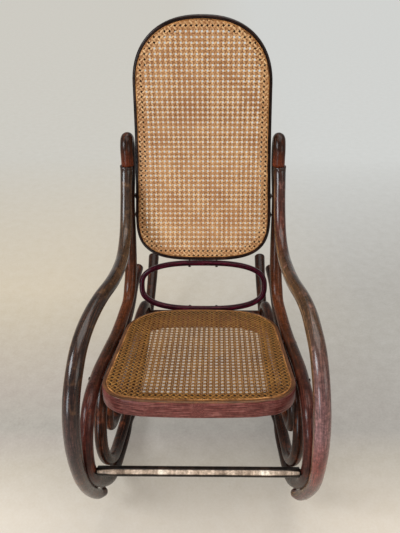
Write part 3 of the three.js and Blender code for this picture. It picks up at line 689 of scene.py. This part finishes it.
def hoopFrame():
    _, footY, footZ = onSeat(0, seat["depth"] + hoop["lap"] + hoop["depth"] / 2, -hoop["footDrop"])
    _, headY, headZ = onBack(0, 0, -back["rimThickness"] / 2)
    down = hoop["width"] / 2 + hoop["lap"]
    headY, headZ = headY - backSlopeY[0] * down, headZ - backSlopeZ[0] * down
    foot, head = Vector((0, footY, footZ)), Vector((0, headY, headZ))
    return foot, head, (head - foot).normalized()


hoopFoot, hoopHead, hoopRise = hoopFrame()
hoop["height"] = (hoopHead - hoopFoot).length + hoop["width"]


def onHoop(x, s, proud):
    start = hoopFoot - hoopRise * hoop["width"] / 2
    return x, start.y + s * hoopRise.y - proud * hoopRise.z, start.z + s * hoopRise.z + proud * hoopRise.y


hoopLine = []
for i in range(hoop["steps"]):
    angle = 2 * math.pi * (i + 0.5) / hoop["steps"]
    x, s = superPoint(hoop["half"], hoop["height"] / 2, hoop["power"], angle)
    hoopLine.append((x, s + hoop["height"] / 2))
hoopSection = []
for i in range(hoop["sectionSteps"]):
    angle = math.pi - 2 * math.pi * (i + 0.5) / hoop["sectionSteps"]
    u, v = superPoint(hoop["width"] / 2, hoop["depth"] / 2, hoop["sectionPower"], angle)
    hoopSection.append((hoop["width"] / 2 + u, v))
finishPiece(bentRing(hoopLine, hoopSection, onHoop), "lumbar_hoop_bentwood", "burgundy_wood", "lumbar_hoop")

stretcher = {
    "sides": 32,
    # from each end inwards: how far in, and the radius there
    "profile": ((0, 6.4), (0.8, 7), (13, 7), (13.2, 10.1), (14.4, 11.3), (60, 11.3), (120, 11.3)),
}


def middleOf(node):
    # the middle of a CAD node seen from the side, in millimetres: along the chair, and how high
    low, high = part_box(node)
    return (low.y + high.y) / 2 / millimetre - frameShift, (low.z + high.z) / 2 / millimetre


def turnedStretcher(name, node, slotName):
    y, z = middleOf(node)
    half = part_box(node)[1].x / millimetre
    left = [((inward - half, y, z), radius) for inward, radius in stretcher["profile"]]
    right = [((half - inward, y, z), radius) for inward, radius in reversed(stretcher["profile"])]
    finishPiece(bentRod(left + right, stretcher["sides"]), name, slotName, node)


turnedStretcher("front_stretcher_turned", "front_stretcher", "pale_wood")
turnedStretcher("rear_stretcher_turned", "rear_stretcher", "dark_wood")
print("hoop and stretchers made")


# Screws

screw = {
    "sides": 20, "shank": 2.2, "neck": 1.4, "taper": 6, "point": 0.4,
    # a dome sits headHeight and stand in from the outer end of the CAD's plain head
    "headHeight": 2.6, "stand": 1.4,
    # on a lapped rod it sits this far under the rod's surface
    "sunk": 0.6,
    # from the head's top inwards: how far in, and the radius there
    "dome": ((-1, 0.5), (-0.8, 2.4), (-0.3, 4), (0.4, 4.8), (1.2, 5)),
}
# each lap screw's outer rod, and its place along the chair and how high
lapScrews = {
    "arm_tip_screw": ("arm", -428, 116),
    "scroll_rail_screw": ("scroll", -120, 317),
    "scroll_foot_screw": ("scroll", -140, 47),
}


def domedScrew(node, seatAt, direction, length):
    # the domed head is let into the wood, so that it stands only a little proud of the rod
    neck = (screw["neck"], screw["shank"])
    taper = (length - screw["taper"], screw["shank"])
    stations = [*screw["dome"], neck, taper, (length, screw["point"])]
    path = [(seatAt + direction * run, radius) for run, radius in stations]
    finishPiece(bentRod(path, screw["sides"]), f"{node}_domed", "screw", node)


def nearestOn(path, place):
    return min(path, key=lambda station: (station[0] - place).length)


for label, hand in hands.items():
    for node in [f"{kind}_screw_{label}_{number}" for kind in ("seat", "back") for number in (1, 2)]:
        low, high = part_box(node)
        reach = max(-low.x, high.x) / millimetre - screw["headHeight"] - screw["stand"]
        root = min(abs(low.x), abs(high.x)) / millimetre
        domedScrew(node, Vector((hand * reach, *middleOf(node))), Vector((-hand, 0, 0)), reach - root)
    for kind, (outer, y, z) in lapScrews.items():
        start, radius = nearestOn(sideRods[label][outer], Vector((acrossTo(hand, 1), y, z)))
        finish, innerRadius = nearestOn(sideRods[label]["side_rod"], start)
        direction = (finish - start).normalized()
        length = radius + (finish - start).length + innerRadius / 3
        domedScrew(f"{kind}_{label}", start - direction * (radius - screw["sunk"]), direction, length)
print("screws set")


# Finishes

def addNode(tree, kind, inputs, **settings):
    node = tree.nodes.new(kind)
    for key, value in settings.items():
        setattr(node, key, value)
    for key, value in inputs.items():
        if isinstance(value, bpy.types.NodeSocket):
            tree.links.new(value, node.inputs[key])
        else:
            node.inputs[key].default_value = value
    return node


def rampNode(tree, factor, stops):
    ramp = addNode(tree, "ShaderNodeValToRGB", {"Fac": factor})
    elements = ramp.color_ramp.elements
    while len(elements) < len(stops):
        elements.new(0.5)
    for element, (position, color) in zip(elements, stops):
        element.position = position
        element.color = paint(color)
    return ramp.outputs["Color"]


def rampOver(tree, factor, positions, colors):
    return rampNode(tree, factor, list(zip(positions, colors)))


def linear(channel):
    # one channel of a colour as it looks on screen, turned to the shader's linear scale
    share = channel / 255
    return share / 12.92 if share <= 0.04045 else ((share + 0.055) / 1.055) ** 2.4


def paint(color):
    # a plain number is a grey that is linear already
    if isinstance(color, (int, float)):
        return (color, color, color, 1)
    return (*[linear(channel) for channel in color], 1)


def blendColor(tree, factor, under, over, mode="MIX"):
    # the colour sockets of this node are its inputs 6 and 7 and its output 2
    mix = addNode(tree, "ShaderNodeMix", {}, data_type="RGBA", blend_type=mode)
    for index, value in ((0, factor), (6, under), (7, over)):
        if isinstance(value, bpy.types.NodeSocket):
            tree.links.new(value, mix.inputs[index])
        else:
            mix.inputs[index].default_value = value
    return mix.outputs[2]


def maths(tree, operation, first, second, clamp=False):
    node = addNode(tree, "ShaderNodeMath", {0: first, 1: second}, operation=operation, use_clamp=clamp)
    return node.outputs[0]


def mean(tree, first, second):
    return maths(tree, "MULTIPLY", maths(tree, "ADD", first, second), 0.5)


def startFinish(name):
    material = bpy.data.materials.new(name)
    material.use_nodes = True
    return material, material.node_tree, material.node_tree.nodes["Principled BSDF"]


def bodyPlace(tree):
    return addNode(tree, "ShaderNodeTexCoord", {}).outputs["Object"]


def keptAttribute(tree, name, output):
    return addNode(tree, "ShaderNodeAttribute", {}, attribute_name=name).outputs[output]


def surfaceNormal(tree):
    return addNode(tree, "ShaderNodeNewGeometry", {}).outputs["Normal"]


def noiseOn(tree, vector, scale, detail=3, roughness=0.55):
    inputs = {"Vector": vector, "Scale": scale, "Detail": detail, "Roughness": roughness}
    return addNode(tree, "ShaderNodeTexNoise", inputs).outputs["Fac"]


def bumpSurface(tree, shader, height, look):
    inputs = {"Height": height, "Strength": look["bump"], "Distance": look["bumpDepth"]}
    tree.links.new(addNode(tree, "ShaderNodeBump", inputs).outputs["Normal"], shader.inputs["Normal"])


def coatSurface(shader, look):
    shader.inputs["Specular IOR Level"].default_value = look["specular"]
    shader.inputs["Coat Weight"].default_value = look["coat"]
    shader.inputs["Coat Roughness"].default_value = look["coatRoughness"]


# what all varnished woods share, where their own look doesn't say otherwise
woodLook = {
    "stretch": (650, 650, 22), "solidStretch": (500, 500, 500), "detail": 4, "roughness": 0.6,
    "patchScale": 22, "streakStops": (0.3, 0.5, 0.72), "wearStops": (0.3, 0.7),
    "fleckNoise": (170, 5, 0.7), "fleckTones": [(0.4, 0.14), (0.5, 0.46), (0.61, 1)], "flecks": 0.75,
    "unevenSide": 0.1, "unevenTop": 0.5, "edgeReach": 0.0088,
    "bump": 0.25, "bumpDepth": 0.0003, "specular": 0.14, "coatRoughness": 0.18,
}


def runToneAndLight(tree, look, color):
    # the tone changes along the rod, and the stops also paint highlights and reflections where the rod
    # catches the light
    tint = rampNode(tree, keptAttribute(tree, "along", "Fac"), look["runToneAndLightStops"])
    return blendColor(tree, look["runShare"], color, tint)


def sideWearAndLight(tree, look, color, streaks, patches):
    # paler on the side that faces one way: a painted reflection of warm light on the arms, the varnish worn
    # by feet on the stretcher
    facing = addNode(tree, "ShaderNodeVectorMath", {1: look["wearAndLightSide"]}, operation="DOT_PRODUCT")
    tree.links.new(surfaceNormal(tree), facing.inputs[0])
    uneven = maths(tree, "ADD", facing.outputs["Value"], maths(tree, "MULTIPLY", patches, look["unevenSide"]))
    mask = rampNode(tree, uneven, look["sideMask"])
    return blendColor(tree, mask, color, rampNode(tree, streaks, look["sideStops"]))


def paintedTopShade(tree, look, color, streaks, patches, place):
    # an upper face is painted dark as shade inward of its outer edge, where the cane lies over it, and has
    # tones of its own along that edge
    up = addNode(tree, "ShaderNodeSeparateXYZ", {"Vector": surfaceNormal(tree)}).outputs["Z"]
    uneven = maths(tree, "ADD", maths(tree, "MULTIPLY", patches, look["unevenTop"]), up)
    inward = addNode(tree, "ShaderNodeSeparateXYZ", {"Vector": place}).outputs["X"]
    edge = maths(tree, "LESS_THAN", inward, look["edgeReach"])
    top, rim = rampNode(tree, streaks, look["shadedTopStops"]), rampNode(tree, streaks, look["edgeStops"])
    return blendColor(tree, rampNode(tree, uneven, look["topMask"]), color, blendColor(tree, edge, top, rim))


def varnishedWood(name, ownLook):
    # bent beech under a dark varnish: streaks run with the bend, and the varnish is worn in patches
    look = {**woodLook, **ownLook}
    material, tree, shader = startFinish(name)
    solid = look.get("solid")
    place = bodyPlace(tree) if solid else keptAttribute(tree, "grain", "Vector")
    inputs = {"Vector": place, "Scale": look["solidStretch"] if solid else look["stretch"]}
    streak = addNode(tree, "ShaderNodeMapping", inputs).outputs["Vector"]
    streaks = noiseOn(tree, streak, 1, look["detail"], look["roughness"])
    body = bodyPlace(tree)
    patches = noiseOn(tree, body, look["patchScale"], look["detail"], look["roughness"])
    wood = rampOver(tree, streaks, look["streakStops"], (look["dark"], look["middle"], look["light"]))
    wear = rampOver(tree, streaks, look["wearStops"], (look["wornDark"], look["worn"]))
    amount = rampOver(tree, patches, (look["wearFrom"], look["wearTo"]), (0, 1))
    color = blendColor(tree, amount, wood, wear)
    if "runToneAndLightStops" in look:
        color = runToneAndLight(tree, look, color)
    if "wearAndLightSide" in look:
        color = sideWearAndLight(tree, look, color, streaks, patches)
    if "shadedTopStops" in look:
        color = paintedTopShade(tree, look, color, streaks, patches, place)
    flecks = mean(tree, streaks, noiseOn(tree, body, *look["fleckNoise"]))
    color = blendColor(tree, look["flecks"], color, rampNode(tree, flecks, look["fleckTones"]), "OVERLAY")
    tree.links.new(color, shader.inputs["Base Color"])
    sheen = rampOver(tree, patches, look["wearStops"], (look["glossy"], look["dull"]))
    tree.links.new(sheen, shader.inputs["Roughness"])
    bumpSurface(tree, shader, streaks, look)
    coatSurface(shader, look)
    return material


# what both canes share
caneLook = {
    "stretch": (2600, 2600, 60), "patchNoise": (5, 0.65), "toneStops": (0.2, 0.5, 0.85),
    "stainStops": (0.42, 0.72), "sheenStops": (0.3, 0.7), "sheen": (0.34, 0.55),
    "bump": 0.3, "bumpDepth": 0.0002, "specular": 0.18, "coat": 0.06, "coatRoughness": 0.3,
}


def caneFinish(name, ownLook):
    look = {**caneLook, **ownLook}
    material, tree, shader = startFinish(name)
    inputs = {"Vector": keptAttribute(tree, "grain", "Vector"), "Scale": look["stretch"]}
    fibres = noiseOn(tree, addNode(tree, "ShaderNodeMapping", inputs).outputs["Vector"], 1)
    patches = noiseOn(tree, bodyPlace(tree), look["patchScale"], *look["patchNoise"])
    mixed = mean(tree, keptAttribute(tree, "tone", "Fac"), fibres)
    color = rampOver(tree, mixed, look["toneStops"], (look["dark"], look["middle"], look["light"]))
    amount = rampOver(tree, patches, look["stainStops"], (0, look["stainShare"]))
    color = blendColor(tree, amount, color, paint(look["stain"]))
    tree.links.new(color, shader.inputs["Base Color"])
    tree.links.new(rampOver(tree, fibres, look["sheenStops"], look["sheen"]), shader.inputs["Roughness"])
    bumpSurface(tree, shader, fibres, look)
    coatSurface(shader, look)
    return material


metalLook = {
    "noise": (700, 5, 0.7), "toneStops": (0.35, 0.65), "sheenStops": (0.3, 0.7), "sheen": (0.3, 0.6),
    "metallic": 0.85,
}


def metalFinish(name, tones):
    material, tree, shader = startFinish(name)
    specks = noiseOn(tree, bodyPlace(tree), *metalLook["noise"])
    color = rampOver(tree, specks, metalLook["toneStops"], tones)
    tree.links.new(color, shader.inputs["Base Color"])
    sheen = rampOver(tree, specks, metalLook["sheenStops"], metalLook["sheen"])
    tree.links.new(sheen, shader.inputs["Roughness"])
    shader.inputs["Metallic"].default_value = metalLook["metallic"]
    return material


darkLook = {
    "dark": (12, 5, 2), "middle": (35, 16, 9), "light": (76, 38, 21), "wornDark": (62, 28, 14),
    "worn": (112, 57, 31), "wearFrom": 0.55, "wearTo": 0.72, "patchScale": 30, "glossy": 0.2, "dull": 0.4,
    "specular": 0.1, "coat": 0.12, "coatRoughness": 0.14,
}
armLook = {
    "dark": (14, 6, 4), "middle": (42, 22, 14), "light": (92, 54, 36), "wornDark": (70, 42, 24),
    "worn": (138, 98, 62), "wearFrom": 0.56, "wearTo": 0.7, "patchScale": 38, "glossy": 0.2, "dull": 0.4,
    "coat": 0.45, "coatRoughness": 0.17, "runShare": 0.55, "wearAndLightSide": (-0.98, 0, 0.2),
    # the arms' side that faces left is painted paler as a reflection of warm light
    "sideMask": [(0.93, 0), (1, 0.8)],
    "sideStops": [(0.3, (40, 24, 12)), (0.5, (84, 55, 28)), (0.7, (134, 96, 56))],
}
finishes = {
    "dark_wood": varnishedWood("dark varnished beech", darkLook),
    "rim_wood": varnishedWood("nearly black rim", {
        **darkLook, "dark": (10, 5, 4), "middle": (24, 12, 9), "light": (44, 24, 18), "worn": (74, 42, 30),
        "wornDark": (40, 20, 14), "wearFrom": 0.6,
    }),
    "side_wood": varnishedWood("side rod varnish", {
        # along the side rod: its own tone, with a painted reflection on the crook's reddish front face
        **darkLook, "runShare": 0.5, "runToneAndLightStops": [
            (0, (128, 57, 32)), (0.02, (34, 20, 12)), (0.15, (40, 23, 14)), (0.25, (106, 54, 26)),
            (0.34, (52, 30, 17)), (0.46, (78, 37, 34)), (0.54, (26, 14, 8)),
        ],
    }),
    "left_arm_wood": varnishedWood("left arm varnish", {
        # along the arm: its own tone, with a painted bluish reflection low on its front
        **armLook, "runToneAndLightStops": [
            (0, (20, 13, 11)), (0.13, (66, 52, 36)), (0.32, (26, 19, 13)), (0.5, (36, 25, 15)),
            (0.6, (28, 18, 16)), (0.7, (50, 36, 41)), (0.85, (52, 25, 21)),
        ],
    }),
    "right_arm_wood": varnishedWood("right arm varnish", {
        # along the arm: its own tone and a red wear patch, with a painted pinkish highlight low on its front
        **armLook, "worn": (172, 120, 108), "runToneAndLightStops": [
            (0, (24, 14, 12)), (0.13, (82, 38, 27)), (0.27, (46, 30, 19)), (0.5, (74, 54, 34)),
            (0.68, (146, 104, 106)), (0.75, (140, 58, 52)), (0.85, (92, 44, 42)),
        ],
    }),
    "red_wood": varnishedWood("reddish seat rim", {
        "dark": (50, 16, 16), "middle": (96, 46, 41), "light": (138, 88, 82), "wornDark": (84, 38, 32),
        "worn": (148, 96, 86), "wearFrom": 0.52, "wearTo": 0.76, "patchScale": 50, "glossy": 0.3,
        "dull": 0.5, "coat": 0.16, "flecks": 0.35, "topMask": [(0.95, 0), (1.2, 1)],
        # the top under the cane is painted nearly black as shade; its outer edge keeps tones of its own
        "shadedTopStops": [(0.3, (13, 6, 3)), (0.7, (34, 18, 10))],
        "edgeStops": [(0.3, (46, 24, 11)), (0.7, (112, 72, 42))],
    }),
    "burgundy_wood": varnishedWood("burgundy paint", {
        "dark": (14, 1, 4), "middle": (40, 4, 14), "light": (78, 13, 32), "wornDark": (60, 16, 26),
        "worn": (108, 44, 58), "wearFrom": 0.62, "wearTo": 0.8, "glossy": 0.2, "dull": 0.36,
        "specular": 0.08, "coat": 0.08, "coatRoughness": 0.12,
    }),
    "pale_wood": varnishedWood("worn pale stretcher", {
        "dark": (8, 5, 3), "middle": (20, 13, 9), "light": (46, 33, 25), "wornDark": (24, 16, 11),
        "worn": (58, 43, 33), "wearFrom": 0.5, "wearTo": 0.75, "glossy": 0.3, "dull": 0.5, "coat": 0.08,
        "wearAndLightSide": (0, -0.72, 0.69), "sideMask": [(0.92, 0), (0.99, 1)],
        "sideStops": [(0.3, (128, 104, 86)), (0.5, (180, 158, 138)), (0.7, (222, 206, 190))],
    }),
    "reed": varnishedWood("split reed", {
        "dark": (96, 56, 24), "middle": (142, 94, 50), "light": (184, 136, 84), "wornDark": (74, 42, 20),
        "worn": (116, 74, 40), "wearFrom": 0.5, "wearTo": 0.75, "glossy": 0.36, "dull": 0.55,
        "coat": 0.05,
    }),
    "raw_wood": varnishedWood("bare beech", {
        "solid": True, "dark": (150, 112, 74), "middle": (178, 138, 94), "light": (200, 162, 118),
        "wornDark": (150, 112, 74), "worn": (184, 146, 100), "wearFrom": 0.5, "wearTo": 0.8,
        "glossy": 0.6, "dull": 0.75, "coat": 0,
    }),
    "spacer": varnishedWood("dark spacer", {**darkLook, "solid": True}),
    "back_cane": caneFinish("tan cane", {
        "dark": (104, 60, 28), "middle": (168, 120, 76), "light": (226, 186, 138), "stain": (138, 84, 46),
        "stainShare": 0.45, "patchScale": 14,
    }),
    "seat_cane": caneFinish("golden cane", {
        "dark": (56, 28, 5), "middle": (110, 70, 24), "light": (180, 132, 68), "stain": (74, 40, 12),
        "stainShare": 0.5, "patchScale": 16,
    }),
    "screw": metalFinish("darkened steel", ((26, 20, 17), (64, 54, 46))),
}
ownFinish = {
    "back_frame_bentwood": "rim_wood",
    "side_rod_left_bentwood": "side_wood",
    "side_rod_right_bentwood": "side_wood",
    "arm_left_bentwood": "left_arm_wood",
    "arm_right_bentwood": "right_arm_wood",
}
# the nodes shown as the CAD has them, by a word in their name
cadFinish = {"screw": "screw", "dowel": "raw_wood", "spacer": "spacer"}
for piece in [thing for thing in bpy.data.objects if thing.type == "MESH"]:
    slotName = ownFinish.get(piece.name, piece.get("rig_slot"))
    node = piece.get("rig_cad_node")
    if node:
        slotName = next((cadFinish[word] for word in cadFinish if word in node), None)
    if slotName:
        piece.data.materials.clear()
        piece.data.materials.append(finishes[slotName])
print("finishes made")


# Floor, light and camera

floorLook = {
    "size": 40, "front": 0.6, "reach": 3.2, "sideShare": 0.8, "roughness": 0.8, "specular": 0.2,
    # the tones paint shade on the floor: a darker band under and beside the chair, darker again to its right
    # behind it
    "toneStops": (0.05, 0.14, 0.36, 0.8),
    "leftTones": ((221, 213, 202), (188, 182, 172), (216, 207, 192), (215, 213, 207)),
    "rightTones": ((221, 213, 202), (190, 187, 181), (196, 194, 190), (218, 219, 217)),
    "coarseNoise": (26, 5, 0.7), "fineNoise": (150, 4, 0.7), "speckleShare": 0.4,
    "speckleTones": [(0.35, (104, 103, 101)), (0.65, (158, 158, 157))],
    # how plainly its own tone shows, whatever light falls on it: from this share to all of it at the far end
    "plainFront": 0.7, "plainReach": 2.8, "plainLeast": 0.4,
}
clearSelection()
bpy.ops.mesh.primitive_plane_add(size=floorLook["size"])
floor = bpy.context.object
floor.name = "floor"
floorFinish, tree, shader = startFinish("pale floor")
place = bodyPlace(tree)
spot = addNode(tree, "ShaderNodeSeparateXYZ", {"Vector": place})
behind = maths(tree, "ADD", spot.outputs["Y"], floorLook["front"])
ahead = maths(tree, "DIVIDE", behind, floorLook["reach"], clamp=True)
# the floor's pale tone, with the painted shade under and beside the chair
leftTone = rampOver(tree, ahead, floorLook["toneStops"], floorLook["leftTones"])
rightTone = rampOver(tree, ahead, floorLook["toneStops"], floorLook["rightTones"])
sideways = maths(tree, "MULTIPLY", spot.outputs["X"], floorLook["sideShare"])
rightward = maths(tree, "ADD", sideways, 0.5, clamp=True)
tone = blendColor(tree, rightward, leftTone, rightTone)
coarse, fine = noiseOn(tree, place, *floorLook["coarseNoise"]), noiseOn(tree, place, *floorLook["fineNoise"])
speckles = rampNode(tree, mean(tree, coarse, fine), floorLook["speckleTones"])
tone = blendColor(tree, floorLook["speckleShare"], tone, speckles, "OVERLAY")
tree.links.new(tone, shader.inputs["Base Color"])
shader.inputs["Roughness"].default_value = floorLook["roughness"]
shader.inputs["Specular IOR Level"].default_value = floorLook["specular"]
plain = addNode(tree, "ShaderNodeEmission", {"Color": tone, "Strength": 1})
rays = addNode(tree, "ShaderNodeLightPath", {})
seen = maths(tree, "ADD", rays.outputs["Is Camera Ray"], rays.outputs["Is Glossy Ray"])
seen = maths(tree, "ADD", seen, rays.outputs["Is Transmission Ray"], clamp=True)
distance = maths(tree, "ADD", spot.outputs["Y"], floorLook["plainFront"])
distance = maths(tree, "DIVIDE", distance, floorLook["plainReach"], clamp=True)
distance = maths(tree, "MULTIPLY", distance, 1 - floorLook["plainLeast"])
share = maths(tree, "ADD", distance, floorLook["plainLeast"])
blend = addNode(tree, "ShaderNodeMixShader", {0: maths(tree, "MULTIPLY", seen, share)})
tree.links.new(shader.outputs[0], blend.inputs[1])
tree.links.new(plain.outputs[0], blend.inputs[2])
tree.links.new(blend.outputs[0], tree.nodes["Material Output"].inputs["Surface"])
floor.data.materials.append(floorFinish)

# place, target, size, watts and colour of each light
lights = {
    "high_left_light": ((-2.6, -1.6, 2.6), (0, 0, 0.4), (1.5, 1.3), 105, (0.9, 0.95, 1)),
    "low_left_light": ((-1.6, -2.6, 0.7), (-0.1, -0.4, 0.5), (0.8, 0.9), 26, (0.86, 0.93, 1)),
    "upper_light": ((0.3, 0.4, 3.4), (0, 0, 0), (3, 3), 90, (1, 0.98, 0.95)),
    "right_light": ((2.8, -2.2, 1.8), (0, 0, 0.5), (2, 2), 32, (1, 0.95, 0.88)),
}


def softLight(name, place, target, size, watts, color):
    clearSelection()
    bpy.ops.object.light_add(type="AREA", location=place)
    light = bpy.context.object
    light.name = name
    light.data.shape = "RECTANGLE"
    light.data.size, light.data.size_y = size
    light.data.energy = watts
    light.data.color = color
    light.rotation_euler = (Vector(target) - Vector(place)).to_track_quat("-Z", "Y").to_euler()


for name, light in lights.items():
    softLight(name, *light)

worldLook = {"color": (222, 222, 220), "strength": 0.3, "shownExtra": 0.65, "glossyShare": 0.3}
world = bpy.data.worlds.new("surroundings")
bpy.context.scene.world = world
world.use_nodes = True
tree = world.node_tree
background = tree.nodes["Background"]
background.inputs["Color"].default_value = paint(worldLook["color"])
# it looks brighter than the light it gives
rays = addNode(tree, "ShaderNodeLightPath", {})
shown = maths(tree, "ADD", rays.outputs["Is Camera Ray"], rays.outputs["Is Transmission Ray"])
reflected = maths(tree, "MULTIPLY", rays.outputs["Is Glossy Ray"], worldLook["glossyShare"])
shown = maths(tree, "ADD", shown, reflected, clamp=True)
extra = maths(tree, "MULTIPLY", shown, worldLook["shownExtra"])
strength = maths(tree, "ADD", extra, worldLook["strength"])
tree.links.new(strength, background.inputs["Strength"])

# focal and shift are in pixels of a picture as high as frame says, sensor is in millimetres
camera = {
    "across": 0.0382, "behind": -1.22, "height": 1.273, "down": 33, "turn": 0.5, "focal": 540, "shift": 12.7,
    "frame": 533, "sensor": 36,
}
clearSelection()
bpy.ops.object.camera_add(
    location=(camera["across"], camera["behind"] + frameShift * millimetre, camera["height"]),
    rotation=(math.radians(90 - camera["down"]), 0, math.radians(camera["turn"])),
)
photoCamera = bpy.context.object
photoCamera.data.sensor_fit = "AUTO"
photoCamera.data.sensor_width = camera["sensor"]
photoCamera.data.lens = camera["focal"] / camera["frame"] * camera["sensor"]
photoCamera.data.shift_x = -camera["shift"] / camera["frame"]
bpy.context.scene.camera = photoCamera

bpy.context.scene.view_settings.view_transform = "Standard"
print("floor, light and camera set")
